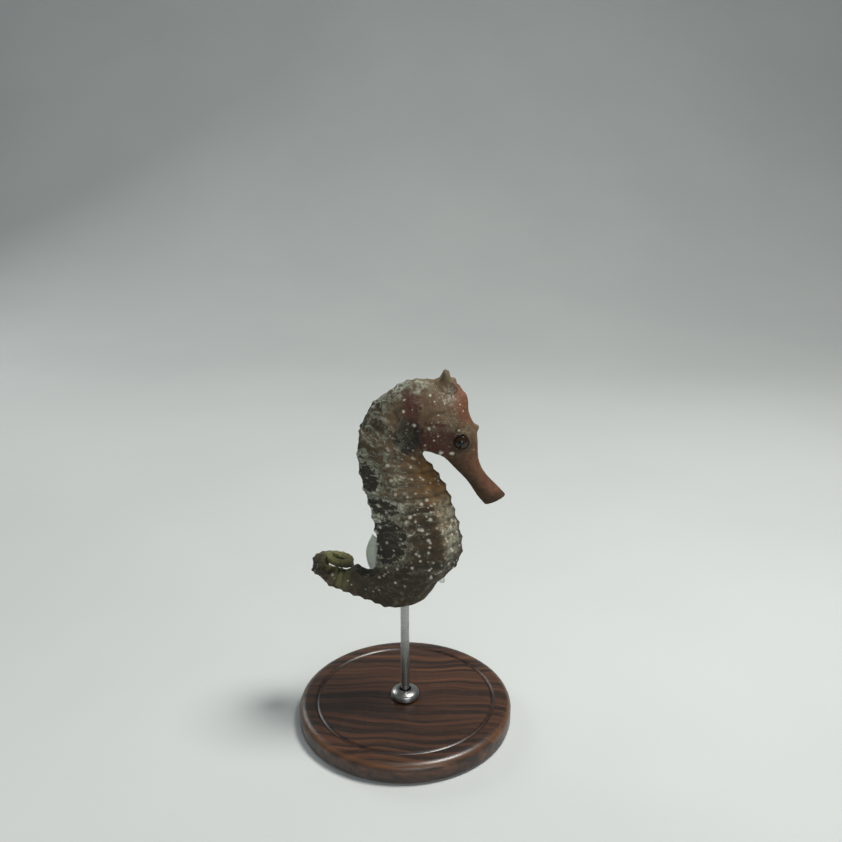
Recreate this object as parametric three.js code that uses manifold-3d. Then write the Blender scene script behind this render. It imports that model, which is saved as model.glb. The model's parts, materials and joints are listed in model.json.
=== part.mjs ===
// A life-size seahorse of the smooth, thick-bodied spotted kind, held in its swimming pose on a
// plain display stand. Millimetres, +Z up, +X the way the animal faces, +Y its left side.
// The origin is the centre of the stand's underside.
//
// The body is one loft. Its sections run from the mouth over the head, bend down through the neck
// into the trunk, and go on into the tail, which turns back at the brood pouch and ends in a small
// rising coil. Thin cuts part the loft into its lengths.

import * as THREE from "three";
import Module from "manifold-3d";
import { mergeVertices } from "three/addons/utils/BufferGeometryUtils.js";

const wasm = await Module();
wasm.setup();

const CUT = 0.3; // gap left wherever two solids meet
const RAD = Math.PI / 180;

// ---------------------------------------------------------------- the body's outline
// Each landmark is a section across the body: where it meets the outline of the back and of the
// belly, seen from the side as [x, z], and half its width from side to side.
const LANDMARKS = [
  { name: "mouth", back: [26.5, 68.5], belly: [21.2, 65.7], half: 1.7 },
  { name: "lips", back: [24.9, 70.3], belly: [19.4, 67.9], half: 2.0 },
  { name: "snout", back: [21.4, 74.1], belly: [16.6, 72.15], half: 1.75 },
  { name: "snoutRoot", back: [19.5, 78.2], belly: [13.35, 75.7], half: 2.3 },
  { name: "eye", back: [18.9, 85.2], belly: [10.3, 78.8], half: 3.5 },
  { name: "cheek", back: [16.8, 90.7], belly: [7.3, 80.0], half: 4.6 },
  { name: "forehead", back: [16.0, 95.5], belly: [5.9, 80.3], half: 5.0 },
  { name: "crown", back: [11.7, 98.3], belly: [5.4, 80.35], half: 5.1 },
  { name: "occiput", back: [6.2, 99.4], belly: [5.1, 80.2], half: 5.0 },
  { name: "nape", back: [0.3, 98.9], belly: [4.95, 79.95], half: 5.1 },
  { name: "collar", back: [-4.6, 95.6], belly: [5.0, 79.5], half: 5.3 },
  { name: "neck", back: [-8.6, 91.1], belly: [5.25, 78.9], half: 5.6 },
  { name: "shoulder", back: [-10.9, 85.7], belly: [5.8, 77.9], half: 5.9 },
  { name: "chest", back: [-11.5, 80.6], belly: [7.0, 76.5], half: 6.1 },
  { name: "breast", back: [-11.1, 75.8], belly: [8.6, 74.2], half: 6.3 },
  { name: "waist", back: [-10.1, 71.2], belly: [10.4, 71.2], half: 6.4 },
  { name: "flank", back: [-8.8, 66.5], belly: [12.1, 67.3], half: 6.5 },
  { name: "loin", back: [-7.7, 61.7], belly: [13.4, 62.8], half: 6.5 },
  { name: "finRoot", back: [-6.9, 57.0], belly: [14.8, 57.8], half: 6.4 },
  { name: "paunch", back: [-6.7, 52.6], belly: [15.4, 53.0], half: 6.1 },
  { name: "rump", back: [-6.9, 49.2], belly: [14.5, 48.9], half: 5.8 },
  { name: "vent", back: [-7.2, 47.3], belly: [12.0, 45.3], half: 5.4 },
  { name: "pouchTop", back: [-7.6, 46.3], belly: [9.0, 42.3], half: 5.1 },
  { name: "pouchFront", back: [-8.1, 45.7], belly: [6.9, 39.0], half: 4.8 },
  { name: "pouchKeel", back: [-8.8, 45.3], belly: [4.5, 36.5], half: 4.5 },
  { name: "pouchEnd", back: [-9.6, 45.3], belly: [1.2, 35.1], half: 4.1 },
  { name: "tailHeel", back: [-10.5, 45.4], belly: [-2.4, 35.2], half: 3.7 },
  { name: "tailBend", back: [-11.7, 46.0], belly: [-6.1, 36.2], half: 3.35 },
  { name: "tailRise", back: [-13.1, 46.9], belly: [-9.8, 38.1], half: 3.05 },
];

// The tail's coil: from the last landmark the tail turns to the animal's left and winds inwards
// and upwards round an upright line.
const COIL = {
  centre: [-18.8, 5.2], // x, y of the line that it winds round
  z: 43.4, // height where the winding starts
  rise: 4.1, // climb over the whole coil, most of it in the first turn
  tilt: 0.22, // climb towards the hind end, as a slope
  turns: 1.78,
  startAngle: -68, // degrees, seen from above, where the winding starts
  reach: [6.0, 5.2], // along x and y, from the line to the middle of the tail, at the start
  tipReach: 0.14, // the same at the tip, as a share of the start's
  reachFall: 0.8, // power of the way along the coil by which the reach falls
  depth: 5.3, // of the tail from back to belly, at the start
  tipDepth: 0.9,
  depthFall: 0.66,
  width: 0.92, // of the tail, as a share of its depth
  knots: 18,
  twist: 0.35, // turns in which the tail's back comes round to face outwards
};

// Corners of the section on one side, as shares of half the depth and half the width. The bony
// ridges run along them, and the spine and the keel are shared by both sides.
const SECTIONS = { // spine, superior ridge, lateral ridge, inferior ridge and keel
  snout: [[1, 0], [0.72, 0.7], [0, 1], [-0.72, 0.7], [-1, 0]],
  head: [[1, 0], [0.8, 0.56], [0.1, 1], [-0.7, 0.68], [-1, 0]],
  trunk: [[0.96, 0], [0.99, 0.42], [0.2, 1], [-0.58, 0.7], [-1, 0]],
  tail: [[0.94, 0], [0.92, 0.74], [0, 0.98], [-0.92, 0.74], [-0.94, 0]],
};
const SWELL = { head: 0.09, body: 0.02 }; // how far the skin bulges between two corners

// Rings of bony plates. A ridge has a low knob where it crosses the middle of a ring.
const TRUNK_RINGS = 11;
const TAIL_RINGS = 35;
const TAIL_RING_SHRINK = 0.97; // each tail ring's length over the one before
const CREST = 0.55; // where in a ring the knobs stand, as a share of its length
const FURROW = 0.03; // how far the skin sinks between rings, as a share of the section
const KNOB = 0.35; // height of the knobs on the trunk
const TAIL_KNOB = 0.7; // the same on the first tail ring, as a share; it fades to none at the tip

// ---------------------------------------------------------------- sizes of the pieces on the body
const EYEBALL = { radius: 2.15, x: 14.7, y: 2.75, z: 84.0 };
const ORBIT = { radius: 3.1, rim: 2.3, from: 2.1, to: 4.2 }; // the raised turret round the eye
const GILL_COVER = { x: 8.5, z: 87.3, length: 7.0, height: 8.8, slant: 24, from: 2.6 };
const SPINES = [
  { at: [18.0, 0, 86.4], aim: [1, 0, 0.2], length: 1.6, radius: 1.1 }, // on the nose
  { at: [14.9, 3.1, 85.8], aim: [0.35, 0.35, 0.85], length: 1.9, radius: 1.1 }, // over the eye
  { at: [9.4, 2.6, 81.6], aim: [-0.1, 0.6, -0.8], length: 1.3, radius: 0.9 }, // on the cheek
];
const CORONET = { x: 10.6, z: 95.5, lean: 26, height: 5.2, points: 5, length: 7.8, width: 5.6 };
const CORONET_SLOPE = 0.3; // fall of the crown from its middle to its front, as a share of its height
const HEAD_END = 0.5; // of the way from the occiput to the nape, where the head meets the neck
const SNOUT_END = 0.62; // of the way back from the eye to the snout's root

// Fins are fans: a root line, rays that stand up from it at an angle, spread out like a hand's
// fingers, and curl over towards their tips. Angles are in degrees.
const FIN_THICKNESS = 0.6;
const FIN_SHOULDER = 0.66; // length of the first and last ray over the longest
const FIN_SKEW = 1.2; // over 1 puts the longest ray past the middle
const FIN_CURL_STEPS = 6;
const DORSAL_FIN = {
  root: [[-6.2, 0, 54.8], [-6.9, 0, 46.0]],
  length: 5.6, spread: 26, lean: 28, curl: 30,
};
const PECTORAL_FIN = {
  root: [[2.4, 4.9, 90.2], [2.8, 5.1, 86.0]],
  length: 5.0, spread: 60, lean: 34, curl: -16,
};
const ANAL_FIN = {
  root: [[9.7, 0, 44.3], [8.8, 0, 43.1]],
  length: 2.2, spread: 14, lean: 0, curl: 0,
};

const POUCH_DEPTH = 0.85; // how deep the brood pouch reaches, as a share of half the body's depth
const ROD = { radius: 1.2, seat: 3, top: 38.2 }; // seat is how deep it stands in the base
const BASE = { radius: 30, height: 6, bevel: 1.2 };
const COLLAR = { radius: 4, height: 2.4, bevel: 0.8 };

// ---------------------------------------------------------------- splines
// The value at u of a smooth curve through knots that stand one unit of u apart.
function through(knots, u) {
  const i = Math.min(Math.max(Math.floor(u), 0), knots.length - 2);
  const t = u - i;
  const p1 = knots[i];
  const p2 = knots[i + 1];
  const p0 = i > 0 ? knots[i - 1] : 2 * p1 - p2;
  const p3 = i + 2 < knots.length ? knots[i + 2] : 2 * p2 - p1;
  return p1 + 0.5 * t * (p2 - p0 + t * (2 * p0 - 5 * p1 + 4 * p2 - p3 + t * (3 * (p1 - p2) + p3 - p0)));
}

const mix = (a, b, t) => a + (b - a) * t;
const ease = (t) => THREE.MathUtils.smoothstep(t, 0, 1);
const vec = (x, y, z) => new THREE.Vector3(x, y, z);
const at = (name) => LANDMARKS.findIndex((landmark) => landmark.name === name);

// ---------------------------------------------------------------- the line of sections
const knots = LANDMARKS.map(({ back, belly, half }) => ({
  back: vec(back[0], 0, back[1]),
  belly: vec(belly[0], 0, belly[1]),
  half,
}));

const flatBack = knots.at(-1).back.clone().sub(knots.at(-1).belly).normalize();
for (let k = 0; k <= COIL.knots; k++) {
  const share = k / COIL.knots;
  const turned = COIL.turns * share;
  const angle = COIL.startAngle * RAD - turned * 2 * Math.PI;
  const reach = mix(1, COIL.tipReach, share ** COIL.reachFall);
  const outwards = vec(Math.cos(angle), Math.sin(angle), 0);
  const [x, y] = [COIL.reach[0] * reach * outwards.x, COIL.reach[1] * reach * outwards.y];
  const risen = COIL.rise * (1 - (1 - share) ** 2);
  const middle = vec(COIL.centre[0] + x, COIL.centre[1] + y, COIL.z + risen - COIL.tilt * x);
  const climb = (COIL.rise * 2 * (1 - share)) / (COIL.turns * 2 * Math.PI * COIL.reach[0] * reach)
    - COIL.tilt * outwards.y;
  const along = vec(outwards.y, -outwards.x, climb).normalize();
  const back = flatBack.clone().lerp(outwards, ease(turned / COIL.twist));
  back.addScaledVector(along, -back.dot(along)).normalize();
  const halfDepth = mix(COIL.depth, COIL.tipDepth, share ** COIL.depthFall) / 2;
  knots.push({
    back: middle.clone().addScaledVector(back, halfDepth),
    belly: middle.clone().addScaledVector(back, -halfDepth),
    half: halfDepth * COIL.width,
  });
}
const LAST = knots.length - 1;

const pointAt = (side, u) =>
  vec(...[0, 1, 2].map((axis) => through(knots.map((knot) => knot[side].getComponent(axis)), u)));
const middleAt = (u) => pointAt("back", u).add(pointAt("belly", u)).multiplyScalar(0.5);

// Distance along the middle of the body, in small steps, so that rings can be set by their length.
const STEPS = 24; // between two knots
const distances = [0];
for (let i = 1; i <= LAST * STEPS; i++) {
  distances.push(distances[i - 1] + middleAt(i / STEPS).distanceTo(middleAt((i - 1) / STEPS)));
}
const distanceAt = (u) => through(distances, u * STEPS);
function sectionAtDistance(distance) {
  const i = Math.max(distances.findIndex((d) => d >= distance - 1e-9), 1);
  return (i - (distances[i] - distance) / (distances[i] - distances[i - 1])) / STEPS;
}

// Where each ring starts, from the collar to the tip of the tail.
const collarAt = distanceAt(at("collar"));
const ventAt = distanceAt(at("vent"));
const tipAt = distances.at(-1);
const tailShare = (ring) => (1 - TAIL_RING_SHRINK ** ring) / (1 - TAIL_RING_SHRINK ** TAIL_RINGS);
const ringStarts = [];
for (let i = 0; i < TRUNK_RINGS; i++) ringStarts.push(mix(collarAt, ventAt, i / TRUNK_RINGS));
for (let i = 0; i <= TAIL_RINGS; i++) ringStarts.push(mix(ventAt, tipAt, tailShare(i)));
const ringAt = (ring) => sectionAtDistance(ringStarts[ring]);

// ---------------------------------------------------------------- one section
function cornersAt(u) {
  const headShare = ease((u - at("snoutRoot") + 0.5) / 2);
  const trunkShare = ease((u - at("occiput")) / 3);
  const tailShare = ease((u - at("pouchFront")) / 5);
  const cornerOf = (corner, axis) => {
    const front = mix(SECTIONS.snout[corner][axis], SECTIONS.head[corner][axis], headShare);
    const body = mix(front, SECTIONS.trunk[corner][axis], trunkShare);
    return mix(body, SECTIONS.tail[corner][axis], tailShare);
  };
  return SECTIONS.snout.map((_, corner) => [cornerOf(corner, 0), cornerOf(corner, 1)]);
}

// The section's frame at u: its middle, the ways to the back and to the left, and its half sizes.
function frameAt(u) {
  const back = pointAt("back", u);
  const belly = pointAt("belly", u);
  const halfDepth = back.distanceTo(belly) / 2;
  const up = back.clone().sub(belly).normalize();
  const along = middleAt(Math.min(u + 0.02, LAST)).sub(middleAt(Math.max(u - 0.02, 0))).normalize();
  const left = along.cross(up).normalize();
  const halfWidth = through(knots.map((knot) => knot.half), u);
  return { middle: back.add(belly).multiplyScalar(0.5), up, left, halfDepth, halfWidth };
}

// Points round the section at u, from the spine over the left side: every corner and one point
// between each two. knob is how far the corners stand out, and grow adds to the whole section.
function sectionPoints(u, { scale = 1, knob = 0, grow = 0 } = {}) {
  const { middle, up, left, halfDepth, halfWidth } = frameAt(u);
  const swell = 1 + mix(SWELL.head, SWELL.body, ease((u - at("occiput")) / 2));
  const corners = cornersAt(u);
  const side = [];
  corners.forEach(([high, wide], c) => {
    side.push([high, wide, c === 0 ? 0 : knob]);
    if (c < corners.length - 1) {
      const [nextHigh, nextWide] = corners[c + 1];
      side.push([((high + nextHigh) / 2) * swell, ((wide + nextWide) / 2) * swell, 0]);
    }
  });
  const otherSide = side.slice(1, -1).reverse().map(([high, wide, raise]) => [high, -wide, raise]);
  return [...side, ...otherSide].map(([high, wide, raise]) => {
    const arm = up.clone().multiplyScalar(high * halfDepth * scale)
      .addScaledVector(left, wide * halfWidth * scale);
    return middle.clone().add(arm).addScaledVector(arm.normalize(), raise + grow);
  });
}

// ---------------------------------------------------------------- lofts and solids
// A closed body through loops of points. Its ends close on the middle of the first and last loop.
function loftOf(loops) {
  const count = loops[0].length;
  const points = loops.flat();
  const middleOf = (loop) => loop.reduce((sum, p) => sum.add(p), vec(0, 0, 0)).divideScalar(count);
  const first = points.push(middleOf(loops[0])) - 1;
  const last = points.push(middleOf(loops.at(-1))) - 1;
  const end = (loops.length - 1) * count;
  const faces = [];
  for (let j = 0; j < count; j++) {
    const k = (j + 1) % count;
    for (let row = 0; row < end; row += count) {
      faces.push(row + j, row + k, row + count + j, row + k, row + count + k, row + count + j);
    }
    faces.push(first, k, j, last, end + j, end + k);
  }
  const geometry = new THREE.BufferGeometry().setFromPoints(points);
  geometry.setIndex(faces);
  return geometry;
}

function solidOf(geometry) {
  const bare = geometry.clone();
  bare.deleteAttribute("normal");
  bare.deleteAttribute("uv");
  const merged = mergeVertices(bare, 1e-4);
  const solid = new wasm.Manifold(new wasm.Mesh({
    numProp: 3,
    vertProperties: new Float32Array(merged.attributes.position.array),
    triVerts: new Uint32Array(merged.index.array),
  }));
  if (solid.volume() < 0) throw new Error("a solid is inside out");
  return solid;
}

function geometryOf(solid) {
  const { numProp, vertProperties, triVerts } = solid.getMesh();
  const places = [];
  for (let i = 0; i < vertProperties.length; i += numProp) places.push(...vertProperties.slice(i, i + 3));
  const geometry = new THREE.BufferGeometry();
  geometry.setAttribute("position", new THREE.Float32BufferAttribute(places, 3));
  geometry.setIndex(new THREE.BufferAttribute(new Uint32Array(triVerts), 1));
  return geometry;
}

// A three.js shape, stretched, turned by degrees about its axes and moved into place.
function placed(geometry, { position = [0, 0, 0], turn = [0, 0, 0], stretch = [1, 1, 1] }) {
  const matrix = new THREE.Matrix4().compose(
    vec(...position),
    new THREE.Quaternion().setFromEuler(new THREE.Euler(...turn.map((angle) => angle * RAD), "ZYX")),
    vec(...stretch),
  );
  return solidOf(geometry.clone().applyMatrix4(matrix));
}

// A thin slab across the body at u, which parts what lies on its two sides.
const SLAB_BEYOND = { width: 3, depth: 0.8 }; // how much larger it is than the section
function slabAt(u) {
  const { middle, up, left, halfDepth, halfWidth } = frameAt(u);
  const across = 2 * halfWidth + SLAB_BEYOND.width;
  const slab = new THREE.BoxGeometry(CUT, across, 2 * halfDepth + SLAB_BEYOND.depth);
  const turned = new THREE.Matrix4().makeBasis(left.clone().cross(up), left, up).setPosition(middle);
  return solidOf(slab.applyMatrix4(turned));
}

// Sections between two places on the body: evenly spaced ones ahead of the collar, and behind it
// the furrow and the crest of each ring.
function sectionsBetween(fromU, toU, spacing) {
  const from = distanceAt(fromU);
  const to = distanceAt(toU);
  const marks = [[from, 1, 0], [to, 1, 0]];
  for (let d = from + spacing; d < Math.min(to, collarAt); d += spacing) marks.push([d, 1, 0]);
  for (let i = 0; i < TRUNK_RINGS + TAIL_RINGS; i++) {
    const fade = i < TRUNK_RINGS ? 1 : TAIL_KNOB * (1 - (i - TRUNK_RINGS) / TAIL_RINGS);
    marks.push([ringStarts[i], 1 - FURROW, 0]);
    marks.push([mix(ringStarts[i], ringStarts[i + 1], CREST), 1, KNOB * fade]);
  }
  const apart = 0.2; // two sections nearer than this are one
  return marks
    .filter(([d], i) => i < 2 || (d > from + apart && d < to - apart))
    .sort((a, b) => a[0] - b[0])
    .map(([d, scale, knob]) => [sectionAtDistance(d), scale, knob]);
}

function lengthOf(fromU, toU, { grow = 0, spacing = 1.6 } = {}) {
  const loops = sectionsBetween(fromU, toU, spacing)
    .map(([u, scale, knob]) => sectionPoints(u, { scale, knob, grow }));
  return solidOf(loftOf(loops));
}

// ---------------------------------------------------------------- materials and nodes
const matte = (color, roughness) => new THREE.MeshStandardMaterial({ color, roughness, metalness: 0 });
const HEAD_SKIN = matte(0x5d4334, 0.6);
const BACK_SKIN = matte(0x4a4033, 0.65);
const BELLY_SKIN = matte(0x6b4a2a, 0.6);
const TAIL_SKIN = matte(0x4a452f, 0.65);
const FIN_SKIN = matte(0x8f9a86, 0.4);
const EYE = matte(0x1c1410, 0.15);
const WOOD = matte(0x2b211b, 0.45);
const STEEL = new THREE.MeshStandardMaterial({ color: 0x9a9a98, roughness: 0.35, metalness: 1 });

const seahorse = new THREE.Group();
function add(name, solid, material) {
  const mesh = new THREE.Mesh(geometryOf(solid), material);
  mesh.name = name;
  seahorse.add(mesh);
}
const SIDES = [["right", -1], ["left", 1]];

// ---------------------------------------------------------------- snout
const snoutEnd = at("eye") - SNOUT_END;
add("snout", lengthOf(0, snoutEnd).subtract(slabAt(snoutEnd)), HEAD_SKIN);

// ---------------------------------------------------------------- head, eyes and gill covers
const headEnd = at("occiput") + HEAD_END;
const skull = lengthOf(snoutEnd, headEnd).subtract(slabAt(snoutEnd)).subtract(slabAt(headEnd));

function turretOf(sign) {
  const { radius, rim, from, to } = ORBIT;
  const profile = [[0, 0], [radius, 0], [radius * 0.93, (to - from) * 0.6], [rim, to - from], [0, to - from]];
  const lathe = new THREE.LatheGeometry(profile.map(([r, h]) => new THREE.Vector2(r, h)), 16);
  return placed(lathe, { position: [EYEBALL.x, sign * from, EYEBALL.z], turn: [sign > 0 ? 0 : 180, 0, 0] });
}

const ballOf = (sign, radius) =>
  placed(new THREE.IcosahedronGeometry(radius, 2), { position: [EYEBALL.x, sign * EYEBALL.y, EYEBALL.z] });

function coverRoom(sign, margin) {
  const { x, z, length, height, slant, from } = GILL_COVER;
  const reach = 6;
  return placed(new THREE.CylinderGeometry(1, 1, reach, 20), {
    position: [x, sign * (from - margin + reach / 2), z],
    turn: [0, slant, 0],
    stretch: [length / 2 + margin, 1, height / 2 + margin],
  });
}

function spineOn(sign, { at: root, aim, length, radius }) {
  const cone = new THREE.ConeGeometry(radius, length + radius, 8);
  const towards = vec(aim[0], sign * aim[1], aim[2]).normalize();
  cone.translate(0, (length - radius) / 2, 0);
  cone.applyQuaternion(new THREE.Quaternion().setFromUnitVectors(vec(0, 1, 0), towards));
  cone.translate(root[0], sign * root[1], root[2]);
  return solidOf(cone);
}

let head = skull;
for (const [, sign] of SIDES) {
  head = head.add(turretOf(sign));
  for (const spine of SPINES) head = head.add(spineOn(sign, spine));
}
for (const [, sign] of SIDES) {
  head = head.subtract(ballOf(sign, EYEBALL.radius + CUT)).subtract(coverRoom(sign, CUT));
}
add("head", head, HEAD_SKIN);
for (const [side, sign] of SIDES) {
  add(`eye_${side}`, ballOf(sign, EYEBALL.radius), EYE);
  add(`gill_cover_${side}`, coverRoom(sign, 0).intersect(skull), HEAD_SKIN);
}

// ---------------------------------------------------------------- coronet
// A low crown of five blunt points round a shallow dish. It leans forward with the slope of the
// brow, and its hind points are the tallest.
const CROWN_RINGS = [ // height, reach and how far the points stand out, as shares
  [0, 1.1, 0],
  [0.5, 0.9, 0.06],
  [0.78, 0.88, 0.12],
  [1, 0.78, 0.18],
  [0.86, 0.42, 0.08],
];
const crownLoops = CROWN_RINGS.map(([high, reach, point]) =>
  Array.from({ length: CORONET.points * 4 }, (_, j) => {
    const angle = (j / (CORONET.points * 4)) * 2 * Math.PI;
    const lobe = reach * (1 + point * Math.cos(CORONET.points * angle));
    const tall = high * CORONET.height * (1 - CORONET_SLOPE * Math.cos(angle));
    const fore = (lobe * CORONET.length * Math.cos(angle)) / 2;
    const aside = (lobe * CORONET.width * Math.sin(angle)) / 2;
    return vec(fore, aside, tall);
  }));
const crown = placed(loftOf(crownLoops), {
  position: [CORONET.x, 0, CORONET.z],
  turn: [0, CORONET.lean, 0],
});
add("coronet", crown.subtract(lengthOf(at("eye"), at("collar"), { grow: CUT })), HEAD_SKIN);

// ---------------------------------------------------------------- neck and trunk
const TRUNK_CUTS = [2, 5, 8, TRUNK_RINGS]; // rings where each length of the trunk starts and ends
const neckEnd = ringAt(TRUNK_CUTS[0]);
add("neck", lengthOf(headEnd, neckEnd).subtract(slabAt(headEnd)).subtract(slabAt(neckEnd)), BACK_SKIN);

["upper", "middle", "lower"].forEach((name, i) => {
  const [from, to] = [ringAt(TRUNK_CUTS[i]), ringAt(TRUNK_CUTS[i + 1])];
  add(`trunk_${name}`, lengthOf(from, to).subtract(slabAt(from)).subtract(slabAt(to)), BELLY_SKIN);
});

// ---------------------------------------------------------------- tail root and brood pouch
// The pouch is a flat bag under the root of the tail, deepest where the tail turns back.
const POUCH_RINGS = [TRUNK_RINGS, 17];
const rootFrom = ringAt(POUCH_RINGS[0]);
const rootTo = ringAt(POUCH_RINGS[1]);
const root = lengthOf(rootFrom, rootTo).subtract(slabAt(rootFrom)).subtract(slabAt(rootTo));

function pouchRoom(margin) {
  const steps = 12;
  const beyond = 2; // outside the skin, in shares of half the section
  const loops = Array.from({ length: steps + 1 }, (_, i) => {
    const share = i / steps;
    const { middle, up, left, halfDepth, halfWidth } = frameAt(mix(rootFrom, rootTo, share));
    const inner = -1.15 + POUCH_DEPTH * Math.sin(Math.PI * share) + margin / halfDepth;
    return [[inner, -1], [inner, 1], [-beyond, 1], [-beyond, -1]].map(([high, wide]) =>
      middle.clone().addScaledVector(up, high * halfDepth).addScaledVector(left, wide * beyond * halfWidth));
  });
  return solidOf(loftOf(loops));
}

function rodOf(radius, bottom, top) {
  const rod = new THREE.CylinderGeometry(radius, radius, top - bottom, 24);
  return placed(rod, { position: [0, 0, (top + bottom) / 2], turn: [90, 0, 0] });
}

const rodFoot = BASE.height - ROD.seat;
const rodRoom = rodOf(ROD.radius + CUT, rodFoot - CUT, ROD.top + CUT);
add("brood_pouch", root.intersect(pouchRoom(0)).subtract(rodRoom), BELLY_SKIN);
add("tail_root", root.subtract(pouchRoom(CUT)).subtract(rodRoom), TAIL_SKIN);

// ---------------------------------------------------------------- tail
const TAIL_CUTS = [17, 20, 23, 27, 31, 36, TRUNK_RINGS + TAIL_RINGS]; // rings, as on the trunk
for (let i = 0; i < TAIL_CUTS.length - 1; i++) {
  const [from, to] = [ringAt(TAIL_CUTS[i]), ringAt(TAIL_CUTS[i + 1])];
  const length = lengthOf(from, to).subtract(slabAt(from));
  const isTip = i === TAIL_CUTS.length - 2;
  add(`tail_${i + 1}`, isTip ? length : length.subtract(slabAt(to)), TAIL_SKIN);
}

// ---------------------------------------------------------------- fins
// A thin plate with the given points down its middle, closed along its four edges.
function plateOf(rows, thickness) {
  const [tall, wide] = [rows.length, rows[0].length];
  const pointIn = (i, j) => rows[Math.min(Math.max(i, 0), tall - 1)][Math.min(Math.max(j, 0), wide - 1)];
  const points = [];
  for (const sign of [1, -1]) {
    for (let i = 0; i < tall; i++) {
      for (let j = 0; j < wide; j++) {
        const across = pointIn(i, j + 1).clone().sub(pointIn(i, j - 1));
        const normal = pointIn(i + 1, j).clone().sub(pointIn(i - 1, j)).cross(across).normalize();
        points.push(rows[i][j].clone().addScaledVector(normal, (sign * thickness) / 2));
      }
    }
  }
  const under = tall * wide;
  const faces = [];
  const quad = (a, b, c, d) => faces.push(a, b, c, a, c, d);
  for (let i = 0; i < tall - 1; i++) {
    for (let j = 0; j < wide - 1; j++) {
      const a = i * wide + j;
      quad(a, a + wide, a + wide + 1, a + 1);
      quad(under + a, under + a + 1, under + a + wide + 1, under + a + wide);
    }
  }
  const rim = [];
  for (let j = 0; j < wide - 1; j++) rim.push(j);
  for (let i = 0; i < tall - 1; i++) rim.push(i * wide + wide - 1);
  for (let j = wide - 1; j > 0; j--) rim.push((tall - 1) * wide + j);
  for (let i = tall - 1; i > 0; i--) rim.push(i * wide);
  rim.forEach((a, k) => {
    const b = rim[(k + 1) % rim.length];
    quad(a, b, under + b, under + a);
  });
  const geometry = new THREE.BufferGeometry().setFromPoints(points);
  geometry.setIndex(faces);
  return solidOf(geometry);
}

// A fan of rays from the root line. away is the way out from the body in the fin's own plane, and
// aside the way that it leans.
function finOf({ root, length, spread, lean, curl }, away, aside, { columns = 8, rows = 5 } = {}) {
  const [first, last] = root.map((p) => vec(...p));
  const alongRoot = last.clone().sub(first).normalize();
  const grid = [];
  for (let i = 0; i <= rows; i++) {
    const out = i / rows;
    grid.push(Array.from({ length: columns + 1 }, (_, j) => {
      const share = j / columns;
      const turn = (share - 0.5) * spread * RAD;
      const tip = length * mix(FIN_SHOULDER, 1, Math.sin(Math.PI * share ** FIN_SKEW));
      const point = first.clone().lerp(last, share);
      for (let k = 0; k < FIN_CURL_STEPS; k++) {
        const tilt = (lean + curl * out * ((k + 0.5) / FIN_CURL_STEPS)) * RAD;
        const step = (tip * out) / FIN_CURL_STEPS;
        point.addScaledVector(alongRoot, Math.sin(turn) * step);
        point.addScaledVector(away, Math.cos(turn) * Math.cos(tilt) * step);
        point.addScaledVector(aside, Math.cos(turn) * Math.sin(tilt) * step);
      }
      return point;
    }));
  }
  return plateOf(grid, FIN_THICKNESS);
}

const bodyRoom = lengthOf(at("eye"), ringAt(POUCH_RINGS[1]), { grow: CUT });
const backward = vec(-1, 0, 0);
const leftward = vec(0, 1, 0);
const ventward = vec(0.78, 0, -0.62);
add("dorsal_fin", finOf(DORSAL_FIN, backward, leftward).subtract(bodyRoom), FIN_SKIN);
add("anal_fin", finOf(ANAL_FIN, ventward, leftward, { columns: 3, rows: 2 }).subtract(bodyRoom), FIN_SKIN);
for (const [side, sign] of SIDES) {
  const outward = leftward.clone().multiplyScalar(sign);
  const root = PECTORAL_FIN.root.map(([x, y, z]) => [x, sign * y, z]);
  const fin = finOf({ ...PECTORAL_FIN, root }, backward, outward);
  add(`pectoral_fin_${side}`, fin.subtract(bodyRoom), FIN_SKIN);
}

// ---------------------------------------------------------------- display stand
// A round weighted base, a collar, and a rod that stands in the base and ends in the pouch.
function discOf({ radius, height, bevel }, z, sides) {
  const profile = [[0, 0], [radius, 0], [radius, height - bevel], [radius - bevel, height], [0, height]];
  const lathe = new THREE.LatheGeometry(profile.map(([r, h]) => new THREE.Vector2(r, h)), sides);
  return placed(lathe, { position: [0, 0, z], turn: [90, 0, 0] });
}

add("stand_base", discOf(BASE, 0, 60).subtract(rodRoom), WOOD);
add("stand_collar", discOf(COLLAR, BASE.height + CUT, 24).subtract(rodRoom), STEEL);
add("stand_rod", rodOf(ROD.radius, rodFoot, ROD.top), STEEL);

export default seahorse;
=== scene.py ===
import json
import math

import bmesh
import bpy
import numpy as np
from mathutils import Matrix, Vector, kdtree

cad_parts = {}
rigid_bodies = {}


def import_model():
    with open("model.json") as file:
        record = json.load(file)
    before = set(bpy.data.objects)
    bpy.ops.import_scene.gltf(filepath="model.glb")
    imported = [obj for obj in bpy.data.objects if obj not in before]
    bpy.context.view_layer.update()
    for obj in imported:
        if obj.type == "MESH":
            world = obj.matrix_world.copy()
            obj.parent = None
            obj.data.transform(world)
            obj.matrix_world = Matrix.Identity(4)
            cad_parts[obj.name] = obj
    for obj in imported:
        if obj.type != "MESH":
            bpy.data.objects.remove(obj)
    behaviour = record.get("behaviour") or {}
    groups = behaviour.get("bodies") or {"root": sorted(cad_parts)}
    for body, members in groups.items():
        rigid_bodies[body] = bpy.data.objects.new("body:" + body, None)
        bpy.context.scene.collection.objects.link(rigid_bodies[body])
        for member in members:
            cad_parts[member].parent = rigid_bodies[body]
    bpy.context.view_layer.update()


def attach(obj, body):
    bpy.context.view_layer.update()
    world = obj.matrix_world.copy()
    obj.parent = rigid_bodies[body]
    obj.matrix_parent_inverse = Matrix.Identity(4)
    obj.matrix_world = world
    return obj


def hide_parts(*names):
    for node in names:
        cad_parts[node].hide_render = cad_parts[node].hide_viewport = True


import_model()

scene = bpy.context.scene
scene.view_settings.view_transform = "Standard"

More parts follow.
